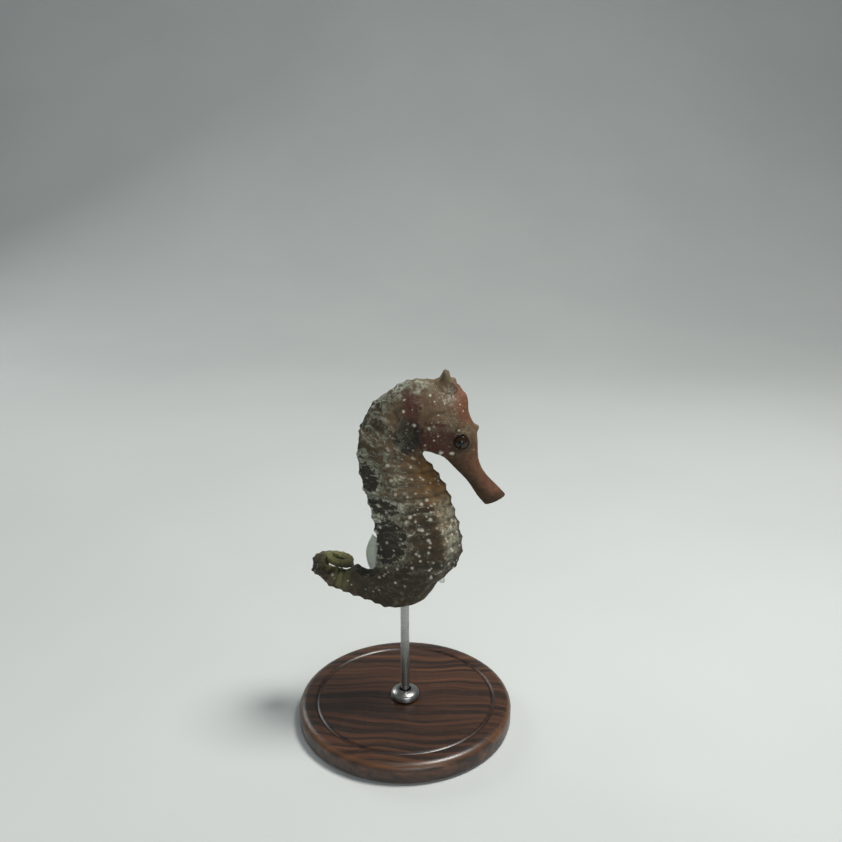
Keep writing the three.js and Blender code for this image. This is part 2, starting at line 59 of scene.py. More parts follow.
# ---------------------------------------------------------------- camera
# A wide view of the animal's right side, from a little above it and a little ahead of its middle.
camera_data = bpy.data.cameras.new("camera")
camera_data.lens = 38.48
camera_data.clip_start = 0.01
camera = bpy.data.objects.new("camera", camera_data)
camera.location = (0.00448, -0.22063, 0.15936)
camera.rotation_euler = (math.radians(90 - 17.806), 0, 0)
scene.collection.objects.link(camera)
scene.camera = camera

# ---------------------------------------------------------------- the body's line
# The body is one tapering tube that bends down at the neck, back at the brood pouch, and round and
# round in the tail. Each landmark is a section across it: where the section meets the outline of
# the back and of the belly, as x and z, and half its width. All lengths here are millimetres.
MM = 0.001
LANDMARKS = {
    "mouth": (26.5, 68.5, 21.2, 65.7, 1.7),
    "lips": (24.9, 70.3, 19.4, 67.9, 2.0),
    "snout": (21.4, 74.1, 16.6, 72.15, 1.75),
    "snout root": (19.5, 78.2, 13.35, 75.7, 2.3),
    "eye": (18.9, 85.2, 10.3, 78.8, 3.5),
    "cheek": (16.8, 90.7, 7.3, 80.0, 4.6),
    "forehead": (16.0, 95.5, 5.9, 80.3, 5.0),
    "crown": (11.7, 98.3, 5.4, 80.35, 5.1),
    "occiput": (6.2, 99.4, 5.1, 80.2, 5.0),
    "nape": (0.3, 98.9, 4.95, 79.95, 5.1),
    "collar": (-4.6, 95.6, 5.0, 79.5, 5.3),
    "neck": (-8.6, 91.1, 5.25, 78.9, 5.6),
    "shoulder": (-10.9, 85.7, 5.8, 77.9, 5.9),
    "chest": (-11.5, 80.6, 7.0, 76.5, 6.1),
    "breast": (-11.1, 75.8, 8.6, 74.2, 6.3),
    "waist": (-10.1, 71.2, 10.4, 71.2, 6.4),
    "flank": (-8.8, 66.5, 12.1, 67.3, 6.5),
    "loin": (-7.7, 61.7, 13.4, 62.8, 6.5),
    "fin root": (-6.9, 57.0, 14.8, 57.8, 6.4),
    "paunch": (-6.7, 52.6, 15.4, 53.0, 6.1),
    "rump": (-6.9, 49.2, 14.5, 48.9, 5.8),
    "vent": (-7.2, 47.3, 12.0, 45.3, 5.4),
    "pouch top": (-7.6, 46.3, 9.0, 42.3, 5.1),
    "pouch front": (-8.1, 45.7, 6.9, 39.0, 4.8),
    "pouch keel": (-8.8, 45.3, 4.5, 36.5, 4.5),
    "pouch end": (-9.6, 45.3, 1.2, 35.1, 4.1),
    "tail heel": (-10.5, 45.4, -2.4, 35.2, 3.7),
    "tail bend": (-11.7, 46.0, -6.1, 36.2, 3.35),
    "tail rise": (-13.1, 46.9, -9.8, 38.1, 3.05),
}
COIL_CENTRE = np.array([-18.8, 5.2, 43.4])  # the upright line that the tail winds round
COIL_REACH = (6.0, 5.2)  # from that line to the middle of the tail, along x and along y
COIL_RISE = 4.1
COIL_TILT = 0.22  # slope of the coil towards its hind end
COIL_TURNS = 1.78
COIL_START = math.radians(-68)
COIL_TIP_REACH = 0.14  # as a share of the reach where the coil starts
COIL_REACH_FALL = 0.8  # power of the way along the coil, for its reach and for the tail's depth
COIL_DEPTH_FALL = 0.66
COIL_DEPTHS = (5.3, 0.9)  # of the tail from back to belly, where the coil starts and at the tip
COIL_WIDTH = 0.92  # of the tail, as a share of its depth
COIL_KNOTS = 18
COIL_TWIST = 0.35  # turns in which the tail's back comes round to face outwards


def mix(a, b, share):
    return a + (b - a) * share


def ease(share):
    share = np.clip(share, 0, 1)
    return share * share * (3 - 2 * share)


def rise(value, start, end):
    """0 at start and 1 at end, with a soft step between."""
    return ease((value - start) / (end - start))


def unit(vectors):
    return vectors / np.linalg.norm(vectors, axis=-1, keepdims=True)


def bump(distance, radius):
    """1 at no distance, falling to about a third at the radius and to nothing at twice that."""
    return np.exp(-((distance / radius) ** 2))


def spline(p0, p1, p2, p3, t):
    """A point between p1 and p2, on the smooth curve through four points."""
    curve = p2 - p0 + t * (2 * p0 - 5 * p1 + 4 * p2 - p3 + t * (3 * (p1 - p2) + p3 - p0))
    return p1 + 0.5 * t * curve


def through(knots, u):
    """Points of a smooth curve through knots that stand one unit of u apart."""
    ends = [2 * knots[:1] - knots[1:2], knots, 2 * knots[-1:] - knots[-2:-1]]
    padded = np.concatenate(ends)
    i = np.clip(np.floor(u).astype(int), 0, len(knots) - 2)
    t = (u - i).reshape(-1, *[1] * (knots.ndim - 1))
    return spline(*(padded[i + k] for k in range(4)), t)


def coil_knots():
    """The tail's sections from the last landmark on: back, belly and half width."""
    share = np.linspace(0, 1, COIL_KNOTS + 1)
    turned = COIL_TURNS * share
    angle = COIL_START - turned * 2 * np.pi
    outwards = np.stack([np.cos(angle), np.sin(angle), 0 * angle], axis=1)
    reach = mix(1, COIL_TIP_REACH, share**COIL_REACH_FALL)
    x = COIL_REACH[0] * reach * outwards[:, 0]
    y = COIL_REACH[1] * reach * outwards[:, 1]
    risen = COIL_RISE * (1 - (1 - share) ** 2)
    middle = COIL_CENTRE + np.stack([x, y, risen - COIL_TILT * x], axis=1)
    climb = COIL_RISE * 2 * (1 - share) / (COIL_TURNS * 2 * np.pi * COIL_REACH[0] * reach)
    slope = climb - COIL_TILT * outwards[:, 1]
    along = unit(np.stack([outwards[:, 1], -outwards[:, 0], slope], axis=1))
    back = mix(unit(BACK[-1] - BELLY[-1]), outwards, ease(turned / COIL_TWIST)[:, None])
    back = unit(back - along * np.sum(back * along, axis=1, keepdims=True))
    half = mix(*COIL_DEPTHS, share**COIL_DEPTH_FALL)[:, None] / 2
    return middle + back * half, middle - back * half, half[:, 0] * COIL_WIDTH


marks = np.array(list(LANDMARKS.values()))
BACK = np.stack([marks[:, 0], 0 * marks[:, 0], marks[:, 1]], axis=1)
BELLY = np.stack([marks[:, 2], 0 * marks[:, 2], marks[:, 3]], axis=1)
HALF_WIDTH = marks[:, 4]
BACK, BELLY, HALF_WIDTH = (
    np.concatenate(parts) for parts in zip((BACK, BELLY, HALF_WIDTH), coil_knots())
)
MIDDLE = (BACK + BELLY) / 2
LAST = len(MIDDLE) - 1
AT = {name: i for i, name in enumerate(LANDMARKS)}

# Corners of the section on one side, from the spine down to the keel, as shares of half the depth
# and of half the width. The bony ridges run along them.
SNOUT_SECTION = [(1, 0), (0.72, 0.7), (0, 1), (-0.72, 0.7), (-1, 0)]
HEAD_SECTION = [(1, 0), (0.8, 0.56), (0.1, 1), (-0.7, 0.68), (-1, 0)]
TRUNK_SECTION = [(0.96, 0), (0.99, 0.42), (0.2, 1), (-0.58, 0.7), (-1, 0)]
TAIL_SECTION = [(0.94, 0), (0.92, 0.74), (0, 0.98), (-0.92, 0.74), (-0.94, 0)]
HEAD_SWELL, BODY_SWELL = 0.09, 0.02  # how far the skin bulges between two corners
GLANCE = 0.02  # how far ahead and behind a section looks to find its way along


def frame_at(u):
    """Each section's middle, its ways to the back, the left and the tail, and its half sizes."""
    back, belly = through(BACK, u), through(BELLY, u)
    ahead = through(MIDDLE, np.minimum(u + GLANCE, LAST))
    behind = through(MIDDLE, np.maximum(u - GLANCE, 0))
    up, along = unit(back - belly), unit(ahead - behind)
    left = unit(np.cross(along, up))
    half_depth = np.linalg.norm(back - belly, axis=1) / 2
    return (back + belly) / 2, up, left, along, half_depth, through(HALF_WIDTH, u)


def section_at(u, around):
    """Height and width of the outline, as shares, from the spine at 0 to the keel at 1."""
    shares = [
        rise(u, AT["snout"] + 0.5, AT["eye"] + 0.5),
        rise(u, AT["occiput"], AT["neck"]),
        rise(u, AT["pouch front"], AT["tail rise"]),
    ]
    corners = np.array(SNOUT_SECTION, float)[None]
    for section, share in zip((HEAD_SECTION, TRUNK_SECTION, TAIL_SECTION), shares):
        corners = mix(corners, np.array(section, float)[None], share[:, None, None])
    swell = 1 + mix(HEAD_SWELL, BODY_SWELL, rise(u, AT["occiput"], AT["collar"]))
    between = (corners[:, 1:] + corners[:, :-1]) / 2 * swell[:, None, None]
    side = np.empty((len(u), 11, 2))
    side[:, 1:10:2] = corners
    side[:, 2:9:2] = between
    other_side = np.array([1, -1])
    side[:, 0] = side[:, 2] * other_side
    side[:, 10] = side[:, 8] * other_side
    place = around * 8
    i = np.clip(np.floor(place).astype(int), 0, 7)
    t = (place - i)[:, None]
    rows = np.arange(len(u))
    return spline(*(side[rows, i + k] for k in range(4)), t)


def outline(u, around, side):
    """Points of the bare outline of the body."""
    middle, up, left, _, half_depth, half_width = frame_at(u)
    high, wide = section_at(u, around).T
    raised = up * (high * half_depth)[:, None]
    return middle + raised + left * (wide * np.sign(side) * half_width)[:, None]


# ---------------------------------------------------------------- rings of bony plates
# The skin is drawn tight over rings of bony plates: eleven round the trunk and thirty-five round
# the tail, each tail ring a little shorter than the one before.
TRUNK_RINGS = 11
TAIL_RINGS = 35
RING_SHRINK = 0.97
CREST = 0.55  # where in a ring its crest stands, as a share of the ring's length

FINE_STEPS = 40  # from one landmark to the next
fine = np.linspace(0, LAST, LAST * FINE_STEPS + 1)


def length_along(*lines):
    """Distance along the body at each fine step, measured on the line that is the longest there."""
    steps = [np.linalg.norm(np.diff(through(line, fine), axis=0), axis=1) for line in lines]
    return np.concatenate([[0], np.cumsum(np.max(steps, axis=0))])


middle_length = length_along(MIDDLE)
skin_length = length_along(BACK, BELLY)
collar_length, vent_length = np.interp([AT["collar"], AT["vent"]], fine, middle_length)
tail_share = (1 - RING_SHRINK ** np.arange(TAIL_RINGS + 1)) / (1 - RING_SHRINK**TAIL_RINGS)
ring_starts = np.concatenate([
    np.linspace(collar_length, vent_length, TRUNK_RINGS + 1)[:-1],
    mix(vent_length, middle_length[-1], tail_share),
])
ring_numbers = np.arange(len(ring_starts))


def ring_of(u):
    return np.interp(np.interp(u, fine, middle_length), ring_starts, ring_numbers)


def ring_at(ring):
    return np.interp(np.interp(ring, ring_numbers, ring_starts), middle_length, fine)


def spread(start, end, count):
    """Stations evenly spaced over the skin after start, up to end."""
    lengths = np.interp([start, end], fine, skin_length)
    return np.interp(np.linspace(*lengths, count + 1)[1:], skin_length, fine)


# ---------------------------------------------------------------- skin
# One skin covers the animal from lips to tail tip. It starts as a small loop of edges inside the
# mouth, and is drawn out ring by ring along the body. The head and trunk are then divided finer.
COLUMNS = 24
MOUTH_ROWS = 4
MOUTH_FLOOR = 1.4  # where the closed inner end of the mouth stands, with the lips' edge at 0
SNOUT_END = 3.4  # stations between which the skin is divided finer
SNOUT_ROWS = 13
CROWN_FRONT, CROWN_BACK = 6.3, 7.75  # stations between which the coronet stands
CROWN_COLUMNS = 3  # on each side of the spine, before the skin is divided finer
FACE_ROWS, CROWN_ROWS, NAPE_ROWS = 8, 4, 6
FINE_TAIL_RINGS = 20  # with two rows each, and the rest with one
CROWN_STEPS = 5
TIP_ROWS = 2

body_rows = np.concatenate([
    spread(0, SNOUT_END, SNOUT_ROWS),
    spread(SNOUT_END, CROWN_FRONT, FACE_ROWS),
    spread(CROWN_FRONT, CROWN_BACK, CROWN_ROWS),
    spread(CROWN_BACK, AT["collar"], NAPE_ROWS),
    ring_at(np.arange(0.5, TRUNK_RINGS + FINE_TAIL_RINGS + 0.1, 0.5)),
    ring_at(np.arange(TRUNK_RINGS + FINE_TAIL_RINGS + 1, TRUNK_RINGS + TAIL_RINGS + 1)),
])
cage_rows = [(0.0, 1 - i / MOUTH_ROWS, 0.0) for i in range(MOUTH_ROWS + 1)]
cage_rows += [(u, 0.0, 0.0) for u in body_rows]
cage_rows += [(LAST, 0.0, (i + 1) / (TIP_ROWS + 1)) for i in range(TIP_ROWS)]
FIELDS = ("station", "around", "side", "mouth", "tip", "crown")

bpy.ops.object.select_all(action="DESELECT")
bpy.ops.mesh.primitive_circle_add(vertices=COLUMNS, radius=MM, location=(0, 0, 0))
skin = bpy.context.object
skin.name = "skin"
for field in FIELDS:
    skin.data.attributes.new(field, "FLOAT", "POINT")
bpy.ops.object.mode_set(mode="EDIT")
bpy.ops.mesh.select_all(action="SELECT")
bm = bmesh.from_edit_mesh(skin.data)
for vertex in bm.verts:
    column = vertex.index
    vertex[bm.verts.layers.float["around"]] = 1 - abs(1 - 2 * column / COLUMNS)
    vertex[bm.verts.layers.float["side"]] = np.sign(COLUMNS / 2 - column) * (column > 0)


def mark_selected(**values):
    """Notes the given fields on every selected point of the skin."""
    bm = bmesh.from_edit_mesh(skin.data)
    layers = {name: bm.verts.layers.float[name] for name in values}
    for vertex in bm.verts:
        if vertex.select:
            for name, value in values.items():
                vertex[layers[name]] = value
    bmesh.update_edit_mesh(skin.data)


def close_end(**values):
    """Draws the selected loop of edges in to one point."""
    bpy.ops.mesh.extrude_region_move(TRANSFORM_OT_translate={"value": (0, 0, 0)})
    mark_selected(around=0.5, side=0, **values)
    bpy.ops.mesh.merge(type="CENTER")


def pick(piece, kind, test):
    """Selects just those points, edges or faces of a piece that pass a test."""
    bpy.ops.mesh.select_mode(type=kind)
    bpy.ops.mesh.select_all(action="DESELECT")
    bm = bmesh.from_edit_mesh(piece.data)
    items = {"VERT": bm.verts, "EDGE": bm.edges, "FACE": bm.faces}[kind]
    for item in [item for item in items if test(item)]:
        item.select_set(True)
    if kind == "VERT":
        bm.select_flush(True)
    bmesh.update_edit_mesh(piece.data)


def mean_of(face, field):
    layer = bmesh.from_edit_mesh(skin.data).verts.layers.float[field]
    return sum(vertex[layer] for vertex in face.verts) / len(face.verts)


mark_selected(station=0, mouth=1)
for (last_u, *_), (u, mouth, tip) in zip(cage_rows, cage_rows[1:]):
    step = (through(MIDDLE, np.array([u])) - through(MIDDLE, np.array([last_u])))[0] * MM
    bpy.ops.mesh.extrude_region_move(TRANSFORM_OT_translate={"value": step})
    mark_selected(station=u, mouth=mouth, tip=tip)
close_end(tip=1)
bpy.ops.mesh.select_all(action="DESELECT")
bpy.ops.mesh.select_non_manifold()
close_end(mouth=MOUTH_FLOOR)

vent = ring_at(TRUNK_RINGS)
pick(skin, "FACE", lambda face: SNOUT_END < mean_of(face, "station") < vent)
bpy.ops.mesh.subdivide(number_cuts=1)

# The coronet's foot is a block of faces on the crown, drawn up in steps.
crown_reach = CROWN_COLUMNS / (COLUMNS / 2)
pick(
    skin, "FACE",
    lambda face: CROWN_FRONT < mean_of(face, "station") < CROWN_BACK
    and mean_of(face, "around") < crown_reach,
)
for step in range(CROWN_STEPS):
    bpy.ops.mesh.extrude_region_move(TRANSFORM_OT_translate={"value": (0, 0, MM)})
    mark_selected(crown=(step + 1) / CROWN_STEPS)
bpy.ops.object.mode_set(mode="OBJECT")


def finish_with(piece, kind, **settings):
    """Adds a modifier to a piece and applies it."""
    bpy.context.view_layer.objects.active = piece
    modifier = piece.modifiers.new(kind.lower(), kind)
    for name, value in settings.items():
        setattr(modifier, name, value)
    bpy.ops.object.modifier_apply(modifier=modifier.name)


finish_with(skin, "SUBSURF", subdivision_type="SIMPLE", levels=2, render_levels=2)


def field_of(mesh, name):
    values = np.empty(len(mesh.vertices))
    mesh.attributes[name].data.foreach_get("value", values)
    return values


def keep_field(mesh, name, values):
    layer = mesh.attributes.get(name) or mesh.attributes.new(name, "FLOAT", "POINT")
    layer.data.foreach_set("value", np.asarray(values, np.float32))


def set_points(mesh, points):
    """Moves the mesh's points, given in millimetres, and returns the ways that they now face."""
    mesh.vertices.foreach_set("co", (points * MM).ravel())
    mesh.update()
    facing = np.empty(len(points) * 3)
    mesh.vertices.foreach_get("normal", facing)
    return facing.reshape(-1, 3)


def face_outwards():
    bpy.ops.mesh.select_all(action="SELECT")
    bpy.ops.mesh.normals_make_consistent(inside=False)
    bpy.ops.object.mode_set(mode="OBJECT")


u, around, side, mouth, tip, crown = (field_of(skin.data, name) for name in FIELDS)
u = np.clip(u, 0, LAST)
around = np.clip(around, 0, 1)
points = outline(u, around, side)

# The mouth is a small slit across the tip of the snout, between a thin upper lip and a thick
# lower one. The lips roll in over the first third of the way.
MOUTH_STEPS = [0, 0.1, 0.2, 0.3, 0.42, 0.55, 1, MOUTH_FLOOR]
LIP_HEIGHT = [1, 0.99, 0.93, 0.82, 0.6, 0.34, 0.1, 0]  # of the opening, as shares of the section
LIP_WIDTH = [1, 1, 0.96, 0.9, 0.8, 0.66, 0.5, 0]
LIP_PUSH = [0, 0.24, 0.42, 0.48, 0.38, 0, -1.5, -1.7]  # forward of the end of the snout
LIP_RAISE = [0, 0, 0.03, 0.08, 0.18, 0.28, 0.28, 0.28]  # of the opening's middle

middle, up, left, along, half_depth, half_width = frame_at(u)
high, wide = section_at(u, around).T
high = np.interp(mouth, MOUTH_STEPS, LIP_RAISE) + high * np.interp(mouth, MOUTH_STEPS, LIP_HEIGHT)
wide = wide * np.sign(side) * np.interp(mouth, MOUTH_STEPS, LIP_WIDTH)
push = np.interp(mouth, MOUTH_STEPS, LIP_PUSH)
lips = middle + up * (high * half_depth)[:, None] + left * (wide * half_width)[:, None]
lips -= along * push[:, None]
points = np.where(mouth[:, None] > 0, lips, points)

# The tail ends in a blunt round tip.
shrink = np.cos(tip * np.pi / 2)[:, None]
beyond = (np.sin(tip * np.pi / 2) * half_depth)[:, None]
points = middle + (points - middle) * np.where(tip[:, None] > 0, shrink, 1) + along * beyond

# ---------------------------------------------------------------- coronet
# A low crown of bone under thick skin: five blunt points round a shallow dish. It leans forward
# with the slope of the brow, and its hind points are the tallest.
CORONET_FOOT = np.array([10.6, 0, 95.5])
CORONET_LEAN = math.radians(26)
CORONET_HEIGHT = 5.0  # above its foot, which lies inside the head
CORONET_HALF_LENGTH, CORONET_HALF_WIDTH = 3.6, 2.8
CORONET_POINTS = 5
CORONET_STEPS = [0.2, 0.4, 0.7, 0.9, 1]
CORONET_REACH = [1.1, 0.95, 0.9, 0.87, 0.8]
CORONET_FLARE = [0, 0.03, 0.08, 0.13, 0.15]  # how far the points stand out
CORONET_DISH = 0.16  # depth of the dish and of the notches between points, as shares of the height
CORONET_NOTCH = 0.14
CORONET_ROUND = 0.07  # fall of the crown towards its outer edge
CORONET_SLOPE = 0.3  # fall of the crown from its middle to its front
CORONET_EDGE = 0.72  # of the dish, as a share of the way out

axis_up = np.array([math.sin(CORONET_LEAN), 0, math.cos(CORONET_LEAN)])
axis_fore = np.array([math.cos(CORONET_LEAN), 0, -math.sin(CORONET_LEAN)])
block_fore = np.clip(2 * (CROWN_BACK - u) / (CROWN_BACK - CROWN_FRONT) - 1, -1, 1)
block_left = np.clip(np.sign(side) * around / crown_reach, -1, 1)
fore = block_fore * np.sqrt(1 - block_left**2 / 2)  # the square block drawn in to a round one
aside = block_left * np.sqrt(1 - block_fore**2 / 2)
foot_u = mix(CROWN_BACK, CROWN_FRONT, (fore + 1) / 2)
foot = outline(np.clip(foot_u, 0, LAST), np.abs(aside) * crown_reach, side)
points = mix(points, foot, ease(crown / CORONET_STEPS[0])[:, None])
rim = np.clip(np.hypot(fore, aside), 0, 1)  # 1 on the coronet's wall, less in its dish
turn = np.arctan2(aside, fore)
lobe = np.cos(CORONET_POINTS * turn)
flare = 1 + np.interp(crown, CORONET_STEPS, CORONET_FLARE) * lobe * rim
reach = np.interp(crown, CORONET_STEPS, CORONET_REACH) * rim * flare
wall = np.clip((crown - CORONET_STEPS[0]) / (1 - CORONET_STEPS[0]), 0, 1)
hollow = CORONET_DISH * rise(rim, CORONET_EDGE, 0.12)
hollow += CORONET_NOTCH * (1 - lobe) / 2 * rise(rim, 0, 0.6)
hollow += CORONET_ROUND * rise(rim, CORONET_EDGE, 1)
tall = CORONET_HEIGHT * (1 - CORONET_SLOPE * np.cos(turn) * rim) * (1 - hollow)
from_foot = points - CORONET_FOOT
drawn_in = rise(wall, 0, 0.35)
foreward = mix(from_foot @ axis_fore, reach * CORONET_HALF_LENGTH * np.cos(turn), drawn_in)
leftward = mix(from_foot[:, 1], reach * CORONET_HALF_WIDTH * np.sin(turn), drawn_in)
upward = mix(from_foot @ axis_up, tall, wall)
coronet = CORONET_FOOT + axis_fore * foreward[:, None] + axis_up * upward[:, None]
coronet[:, 1] += leftward
points = np.where(wall[:, None] > 0, coronet, points)
set_points(skin.data, points)
bpy.ops.object.mode_set(mode="EDIT")
face_outwards()

# ---------------------------------------------------------------- head
# The head's bones show through the skin: a raised ring round each eye, a domed gill cover with
# fine ribs that fan out behind the eye, blunt spines on the nose, brow and cheek, and a ridge from
# the coronet down the nape.
EYE = np.array([14.7, 2.75, 84.0])
EYE_RADIUS = 2.15
ORBIT_OUT = 4.05  # from the middle of the head to the crest of the ring round the eye
ORBIT_RISE = 1.9  # of that crest over the head round it
ORBIT_CREST, ORBIT_FOOT = 2.2, 3.6  # from the eye's middle, seen from the side
ORBIT_FOLD, ORBIT_FOLD_DEPTH = 2.95, 0.14  # a fine fold round the ring's outer slope
SOCKET_DEPTH, SOCKET_SLOPE = 1.15, 1.4  # the skin slopes in under the eyeball
GILL = np.array([8.5, 0, 87.3])
GILL_SLANT = math.radians(24)
GILL_HALF_LENGTH, GILL_HALF_HEIGHT = 3.5, 4.4
GILL_DOME, GILL_SLIT, GILL_RIB = 0.42, 0.2, 0.06
GILL_RIBS = 30
GILL_FAN = (0.6, 0.3)  # where the ribs fan out from, in half lengths and half heights
NAPE_RIDGE, NAPE_RIDGE_RADIUS, NAPE_KNOB_STEP = 0.5, 0.8, 2.6
HEAD_SPINES = [  # place, way that it points, height, radius
    ((18.2, 0, 86.6), (1, 0, 0.3), 1.1, 1.0),
    ((15.0, 3.2, 85.9), (0.2, 0.5, 0.8), 1.0, 0.8),
    ((9.5, 3.0, 81.2), (-0.1, 0.6, -0.8), 0.8, 0.6),
    ((12.4, 2.6, 81.0), (0, 0.6, -0.8), 0.6, 0.5),
    ((5.6, 4.4, 83.6), (-0.4, 0.9, -0.2), 0.6, 0.7),
]
PITS = [  # two nostrils and the gill's opening: place, radius, height of the lip, depth
    ((17.6, 2.0, 81.3), 0.32, 0.45, 0.35),
    ((17.0, 2.2, 80.3), 0.26, 0.45, 0.35),
    ((4.2, 4.7, 93.2), 0.5, 0.6, 0.4),
]

out = np.sign(side)
mirror = np.stack([np.ones_like(out), out, np.ones_like(out)], axis=1)


def near(place, radius):
    """A bump at a place on either side of the head."""
    return bump(np.linalg.norm(points * mirror - np.array(place), axis=1), radius)


def smooth_max(a, b, softness):
    return (a + b + np.sqrt((a - b) ** 2 + softness**2) - softness) / 2


on_head = rise(u, AT["snout"], AT["snout"] + 0.6) * rise(u, AT["crown"] + 0.6, AT["crown"])
on_head *= wall == 0
from_eye = np.hypot(points[:, 0] - EYE[0], points[:, 2] - EYE[2])
outer = ORBIT_OUT - ORBIT_RISE * rise(from_eye, ORBIT_CREST, ORBIT_FOOT)
inner = ORBIT_OUT - SOCKET_DEPTH * rise(from_eye, ORBIT_CREST, ORBIT_CREST - SOCKET_SLOPE)
sideways = np.abs(points[:, 1])
outside = rise(from_eye, ORBIT_CREST - 0.15, ORBIT_CREST + 0.15)
turret = mix(inner, smooth_max(sideways, outer, 0.7), outside)
hold = on_head * rise(from_eye, ORBIT_FOOT + 0.8, ORBIT_FOOT) * rise(sideways, 0.2, 1.4)
points[:, 1] += out * (turret - sideways) * hold

for place, aim, tall, radius in HEAD_SPINES:
    aim = unit(np.array(aim, float)) * tall
    points += mirror * aim * (near(place, radius) * (wall == 0))[:, None]

facing = set_points(skin.data, points)
gill = points - GILL
gill_fore = gill[:, 0] * math.cos(GILL_SLANT) - gill[:, 2] * math.sin(GILL_SLANT)
gill_high = gill[:, 0] * math.sin(GILL_SLANT) + gill[:, 2] * math.cos(GILL_SLANT)
gill_fore, gill_high = gill_fore / GILL_HALF_LENGTH, gill_high / GILL_HALF_HEIGHT
gill_rim = np.hypot(gill_fore, gill_high)
on_gill = rise(gill_rim, 1.14, 0.44)
on_cheek = rise(u, AT["cheek"] - 0.6, AT["cheek"]) * rise(sideways, 2, 3)
on_cheek *= rise(u, AT["collar"] - 0.4, AT["collar"] - 1.2)
behind = rise(gill_fore, 0.3, -0.3) * on_cheek
fan_fore, fan_high = gill_fore - GILL_FAN[0], gill_high - GILL_FAN[1]
ribs = np.cos(GILL_RIBS * np.arctan2(fan_high, fan_fore))
rib_room = rise(gill_rim, 1, 0.8) * rise(np.hypot(fan_high, fan_fore), 0.25, 0.65)
relief = on_cheek * on_gill * (GILL_DOME + GILL_RIB * ribs * rib_room)
relief -= GILL_SLIT * behind * bump(gill_rim - 1.1, 0.09)
relief += GILL_SLIT / 3 * behind * bump(gill_rim - 1.32, 0.14)
relief -= ORBIT_FOLD_DEPTH * on_head * bump(from_eye - ORBIT_FOLD, 0.16) * rise(sideways, 0, 2)
for place, radius, lip, depth in PITS:
    pit = near(place, radius)
    relief += lip * np.sqrt(pit) * (1 - pit) - depth * pit**2

nape = rise(u, CROWN_BACK, CROWN_BACK + 0.4) * rise(u, AT["collar"] + 0.6, AT["collar"] - 0.4)
nape *= wall == 0
nape_length = np.interp(u, fine, skin_length)
nape_knobs = 0.55 + 0.45 * np.cos(2 * np.pi * nape_length / NAPE_KNOB_STEP)
relief += NAPE_RIDGE * nape * nape_knobs * bump(points[:, 1], NAPE_RIDGE_RADIUS)
points += facing * relief[:, None]
facing = set_points(skin.data, points)

# ---------------------------------------------------------------- plates, ridges and knobs
# Each plate has a raised crest across it, and the skin sinks where two rings meet. Ridges run down
# the body over the plates' corners, seven on the trunk and four on the tail, and a blunt knob
# stands where a ridge crosses a crest. The brood pouch is soft and has neither.
RIDGES = ((0.25, 1, 1), (0.5, 1, 0), (0.75, 1, 0.7), (1, 0.6, 0))  # around, on trunk, on tail
RIDGE_HEIGHT, RIDGE_RADIUS = 0.22, 0.9
CREST_HEIGHT, CREST_RADIUS = 0.18, 0.7
SEAM_DEPTH, SEAM_RADIUS = 0.16, 0.42
KNOB_HEIGHT, KNOB_RADIUS = 0.3, 0.62
TALL_KNOBS = 1.7  # every third ring's knobs, over the others
POUCH_END_RING = 17
POUCH_SOFTNESS = 0.62  # how much of the relief is missing on the pouch
TAIL_FADE = 0.85  # how much of it is missing at the tail's tip
TAIL_SCALE = 0.42  # width of ridges and seams at the tail's tip, over those on the trunk
COIL_SQUEEZE = 0.03  # how far the coil's windings are drawn in, to lie clear of each other
NUDGE = 0.01

ring = ring_of(u)
plate = ring - np.floor(ring)
tailward = np.clip((ring - TRUNK_RINGS) / TAIL_RINGS, 0, 1)
on_body = rise(u, AT["collar"] - 0.6, AT["collar"] + 0.6)
ahead, behind_it = np.minimum(u + NUDGE, LAST), np.maximum(u - NUDGE, 0)
nudged = np.linalg.norm(outline(ahead, around, side) - outline(behind_it, around, side), axis=1)
per_ring = nudged / np.maximum(ring_of(ahead) - ring_of(behind_it), 1e-4)
lower, upper = np.minimum(around + NUDGE, 1), np.maximum(around - NUDGE, 0)
one_side = np.where(side == 0, 1, side)
per_turn = np.linalg.norm(outline(u, lower, one_side) - outline(u, upper, one_side), axis=1)
per_turn /= lower - upper
smaller = mix(1, TAIL_SCALE, tailward)
crest_off = (plate - CREST) * per_ring / smaller
seam_off = np.minimum(plate, 1 - plate) * per_ring / smaller
cramped = rise(per_ring, 0.8, 3.4)
soft = rise(around, 0.52, 0.68) * rise(ring, TRUNK_RINGS - 0.6, TRUNK_RINGS + 0.2)
soft *= rise(ring, POUCH_END_RING, POUCH_END_RING - 1.5)
firm = on_body * cramped * (1 - POUCH_SOFTNESS * soft) * (1 - TAIL_FADE * tailward) * (wall == 0)

ridges, knobs = 0, 0
on_tail = rise(ring, TRUNK_RINGS - 1, TRUNK_RINGS + 2)
third_ring = np.where(np.floor(ring) % 3 == 1, TALL_KNOBS, 1)
for place, trunk_share, tail_share in RIDGES:
    share = mix(trunk_share, tail_share, on_tail)
    off = (around - place) * per_turn / smaller
    ridges = ridges + share * bump(off, RIDGE_RADIUS)
    knobs = knobs + share * third_ring * bump(np.hypot(off, crest_off), KNOB_RADIUS)
relief = RIDGE_HEIGHT * ridges + CREST_HEIGHT * bump(crest_off, CREST_RADIUS)
relief += KNOB_HEIGHT * knobs - SEAM_DEPTH * bump(seam_off, SEAM_RADIUS)
points += facing * (relief * firm)[:, None]
squeeze = COIL_SQUEEZE * rise(u, AT["tail rise"], AT["tail rise"] + 3)
points -= (points - middle) * squeeze[:, None]
facing = set_points(skin.data, points)

